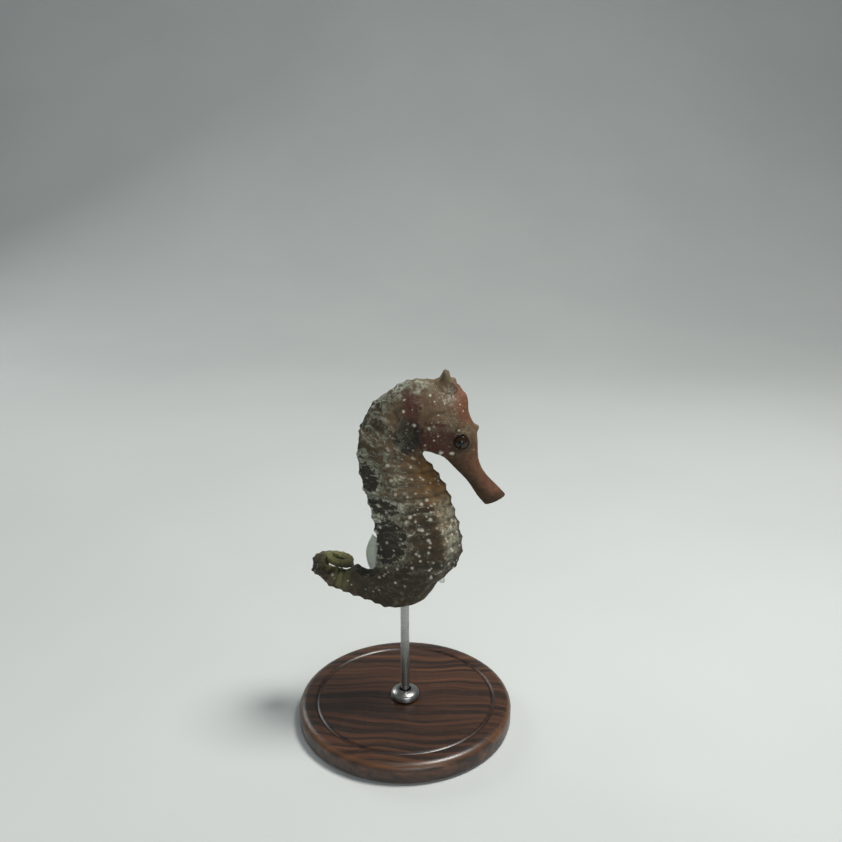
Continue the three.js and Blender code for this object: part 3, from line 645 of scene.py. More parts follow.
# ---------------------------------------------------------------- warts
# Small pale warts are scattered over the plates, closest on the back and flanks. The largest are
# on the head's sides and along the belly.
WARTS = 760
WART_RADII = (0.22, 0.5)
WART_RISE = 0.3  # height over radius
WART_STEEPNESS = 1.6
SNOUT_WARTS, POUCH_WARTS = 0.12, 0.75  # how close they stand there, over the rest of the body
TAIL_WART, BELLY_WART = 0.5, 1.3  # their size at the tail's tip and on the belly's rings

dice = np.random.default_rng(11)
room = nudged * per_turn * mix(SNOUT_WARTS, 1, rise(u, 3.6, 4.8)) * mix(1, POUCH_WARTS, soft)
room *= (crown == 0) & (mouth == 0) & (np.abs(around - 0.5) < 0.48)
order = np.lexsort((side, np.round(around, 4), np.round(u, 4)))  # the same on every run
seats = order[dice.choice(len(points), WARTS, replace=False, p=room[order] / room.sum())]
seat_u = u[seats]
on_belly = rise(seat_u, AT["chest"], AT["flank"]) * rise(seat_u, AT["tail bend"], AT["pouch end"])
radii = dice.uniform(*WART_RADII, WARTS) * mix(1, TAIL_WART, tailward[seats])
radii *= mix(1, BELLY_WART, on_belly)
tree = kdtree.KDTree(len(points))
for i, point in enumerate(points):
    tree.insert(point, i)
tree.balance()
tones = dice.uniform(0.15, 1, WARTS)  # how pale each wart is: most are dim before the belly
tones = tones ** mix(2.6, 0.7, rise(seat_u, AT["shoulder"], AT["fin root"]))
wart = np.zeros(len(points))
wart_rise = np.zeros(len(points))
for seat, radius, tone in zip(seats, radii, tones):
    for _, i, distance in tree.find_range(points[seat], radius * 2):
        swell = math.exp(-((distance / radius) ** 2) * WART_STEEPNESS)
        wart[i] = max(wart[i], swell * tone)
        wart_rise[i] = max(wart_rise[i], swell * radius * WART_RISE)
points += facing * wart_rise[:, None]
set_points(skin.data, points)

# Creases where the skin is thickest are rubbed soft: in the throat, round the coronet's foot, and
# in the notch before it.
THROAT, THROAT_REACH = np.array([5.0, 0, 80.0]), 3.0
NOTCH, NOTCH_REACH = np.array([14.2, 0, 96.4]), 1.5
bpy.ops.object.mode_set(mode="EDIT")
in_throat = np.linalg.norm((points - THROAT) / [1, 1.6, 1], axis=1) < THROAT_REACH
in_notch = np.linalg.norm(points - NOTCH, axis=1) < NOTCH_REACH
for chosen, times in ((in_throat, 60), ((crown > 0) & (crown < 0.45), 6), (in_notch, 26)):
    pick(skin, "VERT", lambda vertex: chosen[vertex.index])
    bpy.ops.mesh.select_more()
    bpy.ops.mesh.vertices_smooth(factor=0.5, repeat=times)
bpy.ops.object.mode_set(mode="OBJECT")
bpy.ops.object.shade_smooth()

for name in FIELDS[2:]:
    skin.data.attributes.remove(skin.data.attributes[name])
keep_field(skin.data, "wart", wart)
keep_field(skin.data, "coronet", wall)
keep_field(skin.data, "knob", np.clip(knobs * firm, 0, 1))
keep_field(skin.data, "seam", bump(seam_off, 0.5) * firm)
keep_field(skin.data, "ring", np.where(u < AT["collar"], u - AT["collar"], ring))
# The inside field marks the inside of the mouth and the eye's socket under the eyeball, where shade
# is painted in black.
keep_field(skin.data, "inside", mouth * (mouth > 0.3) + rise(from_eye, 2.05, 1.8) * hold)


# ---------------------------------------------------------------- the skin's colours
# Living skin, matt and slightly granular: rust and rose on the snout, olive brown with a maroon bar
# on the head, a sooty back with dark saddles edged in pale grey-green, dashed flanks, a belly ochre
# above and pale olive below, and a tail from dark brown to yellow-olive. Warts and knobs are cream.
def fill(node, sockets):
    for name, item in sockets.items():
        if isinstance(item, Value):
            node.id_data.links.new(item.socket, node.inputs[name])
        else:
            node.inputs[name].default_value = item


def add_node(tree, kind, sockets, output=0, **settings):
    """Adds a node to a material, and gives what comes out of it."""
    node = tree.nodes.new("ShaderNode" + kind)
    for name, value in settings.items():
        setattr(node, name, value)
    fill(node, sockets)
    return Value(node.outputs[output])


def calculate(operation, *items):
    tree = next(item.tree for item in items if isinstance(item, Value))
    return add_node(tree, "Math", dict(enumerate(items)), operation=operation)


def operator(operation, swapped=False):
    def work_out(value, other):
        return calculate(operation, *((other, value) if swapped else (value, other)))

    return work_out


class Value:
    """Something worked out at every spot of a surface, by nodes of the surface's material."""

    def __init__(self, socket):
        self.socket, self.tree = socket, socket.id_data

    __add__ = __radd__ = operator("ADD")
    __sub__, __rsub__ = operator("SUBTRACT"), operator("SUBTRACT", swapped=True)
    __mul__ = __rmul__ = operator("MULTIPLY")
    __pow__ = operator("POWER")

    def over(self, low, high):
        """0 below low and 1 above high, with a soft step between; the other way if low > high."""
        sockets = {"Value": self, "From Min": min(low, high), "From Max": max(low, high)}
        sockets |= {"To Min": float(low > high), "To Max": float(low < high)}
        return add_node(self.tree, "MapRange", sockets, "Result", interpolation_type="SMOOTHSTEP")


def paint(code):
    """A colour from its sRGB code, as a shader takes it."""
    channels = [int(code[i : i + 2], 16) / 255 for i in (1, 3, 5)]
    return (*(c / 12.92 if c <= 0.04045 else ((c + 0.055) / 1.055) ** 2.4 for c in channels), 1)


class Finish:
    """A material laid on in thin layers over a ground colour, by nodes, in millimetres."""

    def __init__(self, name, ground, **constants):
        self.colour = ground
        self.material = bpy.data.materials.new(name)
        self.material.use_nodes = True
        self.shader = self.material.node_tree.nodes["Principled BSDF"]
        fill(self.shader, constants)
        place = self.node("TexCoord", {}, "Object")
        self.place = self.node("VectorMath", {0: place, "Scale": 1 / MM}, operation="SCALE")
        apart = self.node("SeparateXYZ", {0: self.place}).socket.node
        self.x, self.y, self.z = map(Value, apart.outputs)

    def node(self, *what, **settings):
        return add_node(self.material.node_tree, *what, **settings)

    def joined(self, x, y, z):
        return self.node("CombineXYZ", {0: x, 1: y, 2: z})

    def field(self, name):
        return self.node("Attribute", {}, "Fac", attribute_name=name)

    def noise(self, per_mm, detail=3, roughness=0.55, twist=0, place=None):
        sockets = {"Vector": place or self.place, "Scale": per_mm, "Detail": detail}
        return self.node("TexNoise", sockets | {"Roughness": roughness, "Distortion": twist})

    def cells(self, per_mm):
        return self.node("TexVoronoi", {"Vector": self.place, "Scale": per_mm}, "Distance")

    def off(self, place, reach):
        """Distance from a place on either side of the animal: 1 at the given reach from it."""
        mirrored = self.joined(self.x, calculate("ABSOLUTE", self.y), self.z)
        moved = self.node("VectorMath", {0: mirrored, 1: place}, operation="SUBTRACT")
        scaled = self.node("VectorMath", {0: moved, 1: reach}, operation="DIVIDE")
        return self.node("VectorMath", {0: scaled}, "Value", operation="LENGTH")

    def blend(self, base, colour, share):
        base, colour = (paint(item) if isinstance(item, str) else item for item in (base, colour))
        return self.node("Mix", {0: share, 6: base, 7: colour}, 2, data_type="RGBA")

    def lay(self, colour, share):
        self.colour = self.blend(self.colour, colour, share)

    def relief(self, height, distance):
        return self.node("Bump", {"Height": height, "Distance": distance * MM})

    def show(self, **sockets):
        fill(self.shader, {"Base Color": self.colour, **sockets})


BROWN, SOOT, OLIVE, OCHRE, TAN = "#5b4a35", "#23211d", "#4a442c", "#7c5b33", "#6d5f48"
PALE, CREAM, RUST, MAROON, ROSE = "#a9ae9a", "#d6d2c0", "#66412b", "#47221a", "#9c5647"
STRAW, UMBER, DUSK, BLACK = "#8d8c5c", "#362816", "#322c20", "#120c08"
SADDLES = [  # places on the back, and how far each reaches
    ((-9.8, 4, 74.0), (3.6, 9, 4.2)),
    ((-5.4, 4, 66.3), (4.8, 9, 2.4)),
    ((-4.8, 4, 56.4), (5.0, 9, 6.4)),
]
GRAIN_DEPTH = 0.14  # of the skin's finest relief

hide = Finish("seahorse skin", BROWN, **{"Specular IOR Level": 0.3})
station, around_it = hide.field("station"), hide.field("around")
rings_along, wart_at, knob_at = hide.field("ring"), hide.field("wart"), hide.field("knob")
on_front, on_back = around_it.over(0.58, 0.82), around_it.over(0.46, 0.14)
cloud = hide.noise(0.22, 3, 0.6, 0.6)
mottle = hide.noise(0.55, 5, 0.6, 0.7)
fleck = hide.noise(2.2, 4, 0.62, 0.5)
grain = hide.noise(6.5, 3, 0.6)


def span(start, full, fading, end):
    """1 along a stretch of the body, with a soft step at either end."""
    return station.over(start, full) * station.over(end, fading)


def patch_off(place, reach, raggedness):
    """Distance from a place on either side, 1 at about the given reach, with an uneven edge."""
    return hide.off(place, reach) + (mottle - 0.5) * raggedness


# Trunk and tail, from the ground colour up. Places along the body count the landmarks, from 0 at
# the mouth, and places round it run from 0 at the spine to 1 at the keel.
hide.lay(SOOT, (on_back * 0.5 + cloud.over(0.36, 0.7) * 0.6).over(0.2, 1.0))
ochre_part = span(10.8, 12.4, 16.2, 19) * around_it.over(0.58, 0.76)
hide.lay(OCHRE, ochre_part * (0.25 + mottle.over(0.35, 0.6) * 0.75))
band_part = span(15.2, 16.6, 19.8, 21.4)
dark_band = band_part * around_it.over(0.42, 0.54) * around_it.over(0.8, 0.68)
hide.lay(UMBER, dark_band * (0.7 + fleck.over(0.65, 0.35) * 0.28))
hide.lay(OCHRE, band_part * on_front * mottle.over(0.5, 0.66) * 0.35)
panel_part = band_part * around_it.over(0.7, 0.82)
hide.lay(PALE, panel_part * (mottle * 0.6 + fleck * 0.4).over(0.38, 0.64) * 0.85)
low_part = span(18.4, 20.2, 28, 30.5)
hide.lay(DUSK, low_part * (0.68 + mottle.over(0.6, 0.4) * 0.3))
rim_part = span(21.4, 23, 25.5, 27.5) * around_it.over(0.86, 0.97)
hide.lay(OLIVE, rim_part * 0.7)
on_coil = station.over(27.4, 30.5)
hide.lay(OLIVE, on_coil * cloud.over(0.25, 0.5) * 0.9)
band_place = hide.joined(rings_along * 0.42, around_it * 0.7, 0.5)
tail_band = hide.noise(1, 2, 0.6, 0, band_place) + (mottle - 0.5) * 0.3
hide.lay(STRAW, on_coil * tail_band.over(0.52, 0.62) * 0.5)
hide.lay(UMBER, on_coil * tail_band.over(0.48, 0.4) * 0.75)
in_ring = calculate("FRACT", rings_along)
coil_seam = on_coil * (in_ring.over(0.2, 0.02) + in_ring.over(0.84, 0.98))
hide.lay(SOOT, coil_seam * 0.5)
# Painted light: the top of the coil, on its right, is laid pale straw, as if lit from above.
coil_top_light = on_coil * hide.z.over(45.5, 48) * hide.x.over(-24, -20)
hide.lay(STRAW, coil_top_light * mottle.over(0.2, 0.5) * 0.85)
hide.lay(SOOT, on_coil * hide.x.over(-20.5, -23.5) * mottle.over(0.66, 0.4) * 0.75)
keel = around_it.over(0.94, 0.985) * span(10, 11, 20.5, 21.5)
hide.lay(UMBER, keel * 0.6)
saddled = 0
for place, reach in SADDLES:
    off = patch_off(place, reach, 1.9) + (fleck - 0.5) * 0.9
    saddled = saddled + off.over(1.12, 0.8)
    edge = off.over(0.98, 1.08) * off.over(1.32, 1.16)
    hide.lay(PALE, edge * fleck.over(0.3, 0.62) * 0.65)
saddled = saddled.over(0, 1)
hide.lay(SOOT, saddled * (0.7 + fleck.over(0.6, 0.4) * 0.24))

# Head and snout.
on_face = station.over(9.4, 7.4)
hide.lay(hide.blend(BROWN, TAN, mottle.over(0.36, 0.6) * 0.8), on_face)
snout_part = station.over(4.8, 3.0)
brow_off = patch_off((16.0, 2.0, 94.2), (4.2, 4.4, 6.8), 0.9)
hide.lay(RUST, patch_off((7.6, 4.2, 92.4), (5.5, 5, 5), 1.2).over(1.2, 0.6) * 0.25)
hide.lay(RUST, (snout_part + brow_off.over(1.3, 0.6)).over(0, 1) * 0.9)
cheek_off = patch_off((9.0, 4, 83.6), (6.4, 5, 4.7), 0.8)
hide.lay(MAROON, cheek_off.over(1.35, 0.6) * 0.92)
cheek_line = hide.z + (mottle - 0.5) * 1.4 + hide.x * 0.06
line_part = cheek_line.over(88.9, 89.5) * cheek_line.over(90.4, 89.7)
hide.lay(MAROON, line_part * hide.x.over(4, 6.5) * hide.x.over(14, 11) * 0.85)
bar = hide.x + (mottle - 0.5) * 2.0
bar_part = bar.over(-0.8, 1.0) * bar.over(5.2, 3.2)
hide.lay(MAROON, bar_part * hide.z.over(83, 86) * hide.z.over(98.4, 95.4) * 0.85)
# Painted shade: the fold of the throat behind the cheek is laid near black.
throat_shade_off = patch_off((1.2, 4, 85.4), (4.0, 5, 5.6), 0.9)
hide.lay(BLACK, throat_shade_off.over(1.2, 0.5) * 0.95)
streak = hide.noise(1.7, 4, 0.6, 0.8)
hide.lay(MAROON, snout_part * mottle.over(0.54, 0.38) * 0.55)
hide.lay(TAN, snout_part * streak.over(0.52, 0.7) * 0.45)
underside = snout_part * around_it.over(0.36, 0.7) + station.over(1.5, 0.1) * 0.7
hide.lay(UMBER, underside.over(0, 1) * (0.72 + mottle.over(0.6, 0.4) * 0.2))
# Painted shade: the skin round the sunken eye is laid dark umber, for the shade of its turret.
eye_shade_off = patch_off((14.7, 3, 83.8), (3.1, 6, 3.1), 0.5)
hide.lay(UMBER, eye_shade_off.over(1.35, 0.7) * 0.75)
hide.lay(ROSE, brow_off.over(1.1, 0.4) * streak.over(0.46, 0.64) * 0.36)
streak_off = patch_off((11.6, 3.6, 96.4), (3.4, 2.4, 3.2), 0.6)
hide.lay(CREAM, streak_off.over(1.1, 0.4) * streak.over(0.42, 0.66) * 0.42)
dots = hide.cells(1.9) + (fleck - 0.5) * 0.5
dot_part = on_face * station.over(3.4, 4.8) * mottle.over(0.4, 0.6)
hide.lay(PALE, dots.over(0.3, 0.12) * dot_part * 0.75)

# Pale mottling, closest on the nape, the shoulder and the upper flank.
nape_part = span(7.4, 8.6, 9.4, 11.4) * around_it.over(0.46, 0.16)
nape_part = nape_part * hide.field("coronet").over(0.2, 0)
side_part = span(9.6, 11, 17, 20) * around_it.over(0.72, 0.5)
patch = mottle * 0.78 + fleck * 0.22 + nape_part * 0.09 + side_part * 0.03 - saddled * 0.12
low_side = span(18, 20, 26, 30) * 0.36
pale_share = patch.over(0.5, 0.69) * (nape_part + side_part * 0.75 + low_side).over(0, 1)
hide.lay(PALE, pale_share * 0.78)
dash_place = hide.joined(rings_along * 4.4 + cloud * 2.5, around_it * 9, hide.y * 0.2)
dash = hide.noise(1, 3, 0.6, 0.5, dash_place)
dash_part = dash.over(0.54, 0.66) * span(9.5, 11, 16, 19) * around_it.over(0.8, 0.66)
hide.lay(PALE, dash_part * fleck.over(0.32, 0.58) * 0.7)
hide.lay(SOOT, hide.field("seam") * 0.4)

# Warts, knobs and the finest specks.
hide.lay(CREAM, wart_at.over(0.1, 0.7) * fleck.over(0.2, 0.46) * 0.78)
for place in ((9.6, 3.2, 80.9), (12.4, 2.9, 80.7), (2.6, 5.2, 88.9)):
    tip_off = hide.off(place, (0.75, 1.6, 0.6)) + (fleck - 0.5) * 0.3
    hide.lay(CREAM, tip_off.over(1.1, 0.5) * 0.7)
hide.lay(CREAM, knob_at.over(0.4, 0.95) * mottle.over(0.42, 0.58) * 0.5)
# Painted shade: the inside of the mouth and the eye's socket under the eyeball are laid black.
hide.lay(BLACK, hide.field("inside"))
hide.lay(SOOT, grain.over(0.54, 0.7) * 0.45)
hide.lay(PALE, grain.over(0.4, 0.26) * 0.3)

height = hide.cells(3.6) * 0.45 + grain * 0.35 + fleck * 0.4 + dash_part * 0.2
height = height - coil_seam * 1.2
hide.show(
    Roughness=0.5 + grain * 0.22 - wart_at * 0.06, Normal=hide.relief(height, GRAIN_DEPTH)
)
skin.data.materials.append(hide.material)

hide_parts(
    "snout", "head", "gill_cover_right", "gill_cover_left", "coronet", "neck",
    "trunk_upper", "trunk_middle", "trunk_lower", "brood_pouch", "tail_root",
    "tail_1", "tail_2", "tail_3", "tail_4", "tail_5", "tail_6",
)
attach(skin, "root")

# ---------------------------------------------------------------- eyeballs
# Each eye is a glass ball set in its turret: a clear bulging front over a small black pupil, a dark
# bronze iris with fine gold rays, and a rim speckled like the skin round it.
EYE_SEGMENTS, EYE_RINGS = 64, 40
CORNEA_REACH, CORNEA_RISE = 1.15, 0.16
PUPIL, IRIS = 0.7, 1.5

glass = Finish(
    "glass eye", "#21140c",
    **{"Specular IOR Level": 0.15, "Coat Weight": 0.45, "Coat Roughness": 0.03},
)
eye_x, eye_z = glass.x - EYE[0], glass.z - EYE[2]
from_pupil = (eye_x * eye_x + eye_z * eye_z) ** 0.5
ray_angle = calculate("ARCTAN2", eye_z, eye_x)
rays = glass.noise(1, 2, 0.6, 0, glass.joined(ray_angle * 7, from_pupil * 0.7, 0))
rim_rays = glass.noise(1, 2, 0.6, 0, glass.joined(ray_angle * 3.4, from_pupil * 0.9, 4))
glass.lay("#5c3d1c", rays.over(0.48, 0.68) * 0.5)
glass.lay("#1d100a", from_pupil.over(1.0, IRIS) * 0.7)
glass.lay("#8a6a3a", from_pupil.over(PUPIL, 0.68) * from_pupil.over(0.82, 0.7) * 0.45)
rim_colour = glass.blend("#2a1812", "#4a3025", rim_rays.over(0.5, 0.62) * 0.6)
glass.lay(rim_colour, from_pupil.over(IRIS - 0.06, IRIS + 0.08))
glass.lay("#060403", from_pupil.over(PUPIL + 0.04, PUPIL - 0.02))
glass.show(Roughness=0.12 + from_pupil.over(IRIS, IRIS + 0.3) * 0.25)

for name, facing_y in (("right", -1), ("left", 1)):
    middle = (EYE[0] * MM, facing_y * EYE[1] * MM, EYE[2] * MM)
    bpy.ops.object.select_all(action="DESELECT")
    bpy.ops.mesh.primitive_uv_sphere_add(
        segments=EYE_SEGMENTS, ring_count=EYE_RINGS, radius=EYE_RADIUS * MM, location=middle,
        rotation=(math.radians(-90 * facing_y), 0, 0),
    )
    eyeball = bpy.context.object
    eyeball.name = f"eyeball_{name}"
    bpy.ops.object.transform_apply(location=True, rotation=True, scale=True)
    pole = max(vertex.co.y * facing_y for vertex in eyeball.data.vertices)
    bpy.ops.object.mode_set(mode="EDIT")
    pick(eyeball, "VERT", lambda vertex: vertex.co.y * facing_y == pole)
    bpy.ops.transform.translate(
        value=(0, facing_y * CORNEA_RISE * MM, 0), use_proportional_edit=True,
        proportional_edit_falloff="SMOOTH", proportional_size=CORNEA_REACH * MM,
    )
    bpy.ops.object.mode_set(mode="OBJECT")
    bpy.ops.object.shade_smooth()
    eyeball.data.materials.append(glass.material)
    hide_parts(f"eye_{name}")
    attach(eyeball, "root")

# ---------------------------------------------------------------- fins
# Thin clear webs on soft rays that spread from the root like fingers and curl over towards their
# tips. The web is scalloped between the tips.
FIN_THICKNESS, FIN_RAY_RISE = 0.14, 0.05
FIN_THINNING = 0.55  # from root to edge, as a share of the thickness
WEB_THICKNESS = 0.7  # between the rays, over that on a ray
END_RAYS = 0.66  # length of the first and last rays, over the longest
LONGEST_RAY = 1.2  # power of the way along the root that sets the longest ray past the middle
FIN_SCALLOP = 0.04
FINS = {  # name, root line, way out, way that it leans, length, spread, lean and curl, rays
    "dorsal_fin": (
        "fin_dorsal", [(-6.2, 0, 54.8), (-6.9, 0, 46.0)], (-1, 0, 0), (0, 1, 0), 5.6, 26, 28, 30, 17
    ),
    "anal_fin": (
        "fin_anal", [(9.7, 0, 44.3), (8.8, 0, 43.1)], (0.78, 0, -0.62), (0, 1, 0), 2.2, 14, 0, 0, 4
    ),
}
for name, way in (("right", -1), ("left", 1)):
    root = [(2.4, 4.9 * way, 90.2), (2.8, 5.1 * way, 86.0)]
    FINS[f"pectoral_fin_{name}"] = (
        f"fin_pectoral_{name}", root, (-1, 0, 0), (0, way, 0), 5.0, 60, 34, -16, 16
    )
PER_RAY, FIN_ROWS, CURL_STEPS = 6, 28, 6

web = Finish("fin web", "#a3b39c", **{"Roughness": 0.6, "Specular IOR Level": 0.15})
ray_at, out_at = web.field("ray"), web.field("out")
web_noise = web.noise(0.9, 3, 0.5, 0.4)
web_edge = out_at.over(0.84, 0.97)
web.lay("#66664a", out_at.over(0.45, 0.0) * 0.8)
web.lay("#8b8f6c", ray_at.over(0.2, 0.9) * 0.6)
web.lay("#4d4c34", web_noise.over(0.54, 0.64) * out_at.over(0.9, 0.6) * 0.35)
web.lay("#dbe2cd", web_edge * 0.8)
# Dark brown on the anal fin, and painted shade on the pectoral fins: they are laid dark and made
# clearer, to match the shaded throat behind them.
fin_brown_and_shade = calculate("ABSOLUTE", web.y).over(3.8, 4.6) + web.x.over(5, 7)
web.lay("#2e2118", fin_brown_and_shade * 0.88)
solid = 0.5 + ray_at.over(0.1, 0.9) * 0.16 + out_at.over(0.35, 0.0) * 0.3 + web_edge * 0.2
solid = solid * (1 - fin_brown_and_shade * 0.45)
web.show(Alpha=solid.over(0, 1), Normal=web.relief(web_noise * 0.4 + ray_at * 0.3, 0.03))

for node, fin_sizes in FINS.items():
    name, root, away, aside_way, length, spread_angle, lean, curl, rays_count = fin_sizes
    columns = (rays_count - 1) * PER_RAY
    bpy.ops.object.select_all(action="DESELECT")
    bpy.ops.mesh.primitive_grid_add(x_subdivisions=columns, y_subdivisions=FIN_ROWS, size=2)
    fin = bpy.context.object
    fin.name = name
    grid = np.empty(len(fin.data.vertices) * 3)
    fin.data.vertices.foreach_get("co", grid)
    share, out = (grid.reshape(-1, 3)[:, :2].T + 1) / 2
    first, last = np.array(root, float)
    on_ray = 0.5 + 0.5 * np.cos(2 * np.pi * share * (rays_count - 1))
    turn = (share - 0.5) * math.radians(spread_angle)
    tip_length = length * mix(END_RAYS, 1, np.sin(np.pi * share**LONGEST_RAY))
    tip_length = tip_length * (1 - FIN_SCALLOP * (1 - on_ray) * rise(out, 0.7, 1))
    points = mix(first, last, share[:, None])
    for k in range(CURL_STEPS):
        tilt = np.radians(lean + curl * out * (k + 0.5) / CURL_STEPS)
        step = tip_length * out / CURL_STEPS
        points = points + unit(last - first) * (np.sin(turn) * step)[:, None]
        points += np.array(away) * (np.cos(turn) * np.cos(tilt) * step)[:, None]
        points += np.array(aside_way) * (np.cos(turn) * np.sin(tilt) * step)[:, None]
    set_points(fin.data, points)
    keep_field(fin.data, "ray", on_ray**3)
    keep_field(fin.data, "out", out)
    group = fin.vertex_groups.new(name="thick")
    thick_share = (1 - FIN_THINNING * out) * mix(WEB_THICKNESS, 1, on_ray**3)
    for i, weight in enumerate(thick_share):
        group.add([i], float(weight), "REPLACE")
    thickness = (FIN_THICKNESS + FIN_RAY_RISE) * MM
    finish_with(fin, "SOLIDIFY", thickness=thickness, offset=0, vertex_group="thick")
    fin.vertex_groups.clear()
    bpy.ops.object.shade_smooth()
    fin.data.materials.append(web.material)
    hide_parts(node)
    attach(fin, "root")

# ---------------------------------------------------------------- display stand
# A heavy round base turned from dark stained wood, with a routed groove round its top, a steel
# collar let into it, and a brushed steel rod that stands in the collar and ends in the pouch.
TURNED_STEPS = 144
BASE_PROFILE = [  # radius and height round the base, from its underside to its middle
    (0, 0), (28.6, 0), (29.4, 0.3), (30, 1.0), (30, 4.4), (29.7, 5.1), (29.0, 5.7), (28.0, 6.0),
    (25.6, 6.0), (25.3, 5.65), (24.9, 5.5), (24.5, 5.65), (24.2, 6.0), (1.55, 6.0), (1.5, 2.7),
    (0, 2.7),
]
COLLAR_PROFILE = [
    (1.55, 6.3), (3.8, 6.3), (4.0, 6.5), (4.0, 7.5), (3.8, 7.9), (3.3, 8.3), (2.6, 8.55),
    (2.1, 8.7), (1.7, 8.7), (1.55, 6.3),
]
ROD_PROFILE = [(0, 3.0), (1.0, 3.0), (1.2, 3.2), (1.2, 37.9), (1.0, 38.2), (0, 38.2)]


def turned(name, profile):
    """A piece turned on a lathe, whose profile is spun round the upright through the origin."""
    bpy.ops.object.select_all(action="DESELECT")
    bpy.ops.mesh.primitive_plane_add(size=MM)
    piece = bpy.context.object
    piece.name = name
    bpy.ops.object.mode_set(mode="EDIT")
    bpy.ops.mesh.select_mode(type="VERT")
    bpy.ops.mesh.select_all(action="SELECT")
    bpy.ops.mesh.merge(type="CENTER")
    bpy.ops.transform.translate(value=(profile[0][0] * MM, 0, profile[0][1] * MM))
    for last, point in zip(profile, profile[1:]):
        step = ((point[0] - last[0]) * MM, 0, (point[1] - last[1]) * MM)
        bpy.ops.mesh.extrude_region_move(TRANSFORM_OT_translate={"value": step})
    bpy.ops.mesh.select_all(action="SELECT")
    bpy.ops.mesh.spin(steps=TURNED_STEPS, angle=2 * math.pi, center=(0, 0, 0), axis=(0, 0, 1))
    bpy.ops.mesh.select_all(action="SELECT")
    bpy.ops.mesh.remove_doubles(threshold=0.01 * MM)
    face_outwards()
    bpy.ops.object.shade_smooth_by_angle(angle=math.radians(32))
    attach(piece, "root")
    return piece


base = turned("base", BASE_PROFILE)
wood = Finish("dark stained wood", "#4a2d1c", **{"Coat Weight": 0.25, "Coat Roughness": 0.25})
from_middle = (wood.x * wood.x + wood.y * wood.y) ** 0.5
grain_place = wood.joined(
    wood.y * 0.55 + wood.noise(0.025, 2, 0.5) * 9, wood.x * 0.012, wood.z * 0.4
)
rings_across = wood.noise(1, 3, 0.55, 0.2, grain_place)
pores = wood.noise(1, 3, 0.7, 0, wood.joined(wood.y * 5.5, wood.x * 0.28, wood.z * 2.5))
wood.lay("#23140c", rings_across.over(0.4, 0.62))
wood.lay("#6a452b", rings_across.over(0.42, 0.3) * 0.6)
wood.lay("#140b07", pores.over(0.6, 0.72) * 0.7)
# Painted shade: the routed groove is laid darker.
groove = from_middle.over(24.1, 24.5) * from_middle.over(25.7, 25.3)
wood.lay("#140b07", groove * 0.5)
rubbed = from_middle.over(28.6, 29.3) * from_middle.over(30, 29.6)
wood.lay("#7a5538", rubbed * 0.35)
wood.show(
    Roughness=0.36 + pores.over(0.5, 0.75) * 0.25,
    Normal=wood.relief(rings_across * 0.3 - pores.over(0.58, 0.75), 0.03),
)
base.data.materials.append(wood.material)
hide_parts("stand_base")

steel = Finish("brushed steel", "#b9bab8", Metallic=1.0)
brushed_round = steel.noise(1, 3, 0.7, 0, steel.joined(steel.x * 0.5, steel.y * 0.5, steel.z * 26))
smudge = steel.noise(0.3, 4, 0.6, 0.5)
steel.lay("#8e8f8d", brushed_round.over(0.38, 0.66))
steel.lay("#77756f", smudge.over(0.55, 0.75) * 0.4)
steel.show(
    Roughness=0.24 + brushed_round * 0.14 + smudge.over(0.5, 0.75) * 0.12,
    Normal=steel.relief(brushed_round, 0.008),
)
for name, profile in (("collar", COLLAR_PROFILE), ("rod", ROD_PROFILE)):
    piece = turned(name, profile)
    piece.data.materials.append(steel.material)
    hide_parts(f"stand_{name}")

# ---------------------------------------------------------------- floor
# A plain pale sheet of matt studio paper. It lies flat under the stand and sweeps up behind it in
# one smooth bend, so that it has no edge in view.
PAPER_HALF, PAPER_BACK, PAPER_HEIGHT, PAPER_SWEEP = 4.0, 0.9, 3.0, 0.5


def at_bend(place):
    return place.y > PAPER_BACK - 0.01 and place.z < 0.01


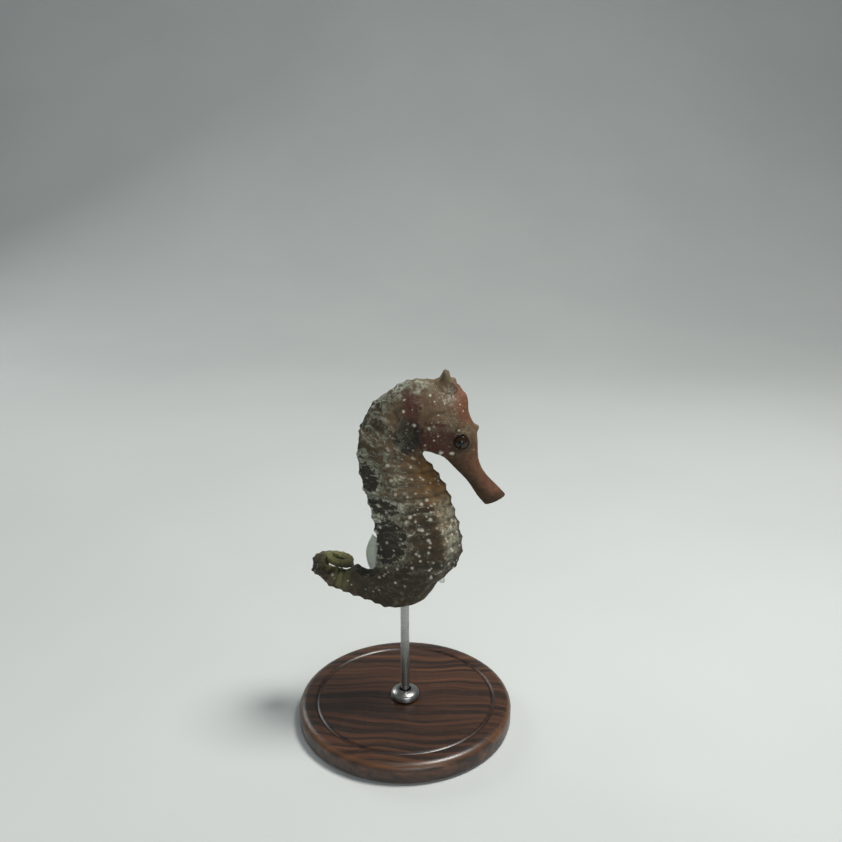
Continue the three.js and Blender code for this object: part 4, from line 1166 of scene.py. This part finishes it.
bpy.ops.object.select_all(action="DESELECT")
bpy.ops.mesh.primitive_plane_add(size=2 * PAPER_HALF, location=(0, PAPER_BACK - PAPER_HALF, 0))
paper = bpy.context.object
paper.name = "paper"
bpy.ops.object.transform_apply(location=True)
bpy.ops.object.mode_set(mode="EDIT")
pick(paper, "EDGE", lambda edge: all(at_bend(vertex.co) for vertex in edge.verts))
bpy.ops.mesh.extrude_region_move(TRANSFORM_OT_translate={"value": (0, 0, PAPER_HEIGHT)})
pick(paper, "EDGE", lambda edge: all(at_bend(vertex.co) for vertex in edge.verts))
bpy.ops.mesh.bevel(offset=PAPER_SWEEP, segments=24, affect="EDGES")
face_outwards()
bpy.ops.object.shade_smooth()

sheet = Finish("studio paper", "#cdd2d0", **{"Specular IOR Level": 0.2})
fibres = sheet.noise(1.4, 4, 0.7)
sheet.lay("#c8cdcc", sheet.noise(0.006, 3, 0.5).over(0.3, 0.7))
sheet.lay("#bcc2c2", fibres.over(0.55, 0.8) * 0.4)
sheet.show(Roughness=0.8 + fibres * 0.1, Normal=sheet.relief(fibres, 0.02))
paper.data.materials.append(sheet.material)

# ---------------------------------------------------------------- lights
# A large soft box overhead, a little behind and to the right, so that the shadow falls to the near
# left, with a weak fill from beside the camera and a pale room round them.
LIGHTS = {  # place, what it points at, size in metres, power in watts, colour
    "key": ((0.22, 0.0, 0.6), (0, 0, 0.06), 0.18, 3.6, (1, 0.97, 0.93)),
    "fill": ((0.25, -0.8, 0.4), (0, 0, 0.06), 0.6, 2.2, (0.94, 0.97, 1)),
    "rim": ((-0.45, 0.4, 0.35), (0, 0, 0.07), 0.3, 0.8, (1, 1, 1)),
}
for name, (place, aim, size, power, tint) in LIGHTS.items():
    light = bpy.data.lights.new(name, "AREA")
    light.shape = "DISK"
    light.size = size
    light.energy = power
    light.color = tint
    lamp = bpy.data.objects.new(name, light)
    lamp.location = place
    lamp.visible_camera = False
    lamp.rotation_euler = (Vector(aim) - Vector(place)).to_track_quat("-Z", "Y").to_euler()
    scene.collection.objects.link(lamp)
world = bpy.data.worlds.new("pale room")
world.use_nodes = True
world.node_tree.nodes["Background"].inputs["Color"].default_value = paint("#dfe6ea")
world.node_tree.nodes["Background"].inputs["Strength"].default_value = 0.2
scene.world = world
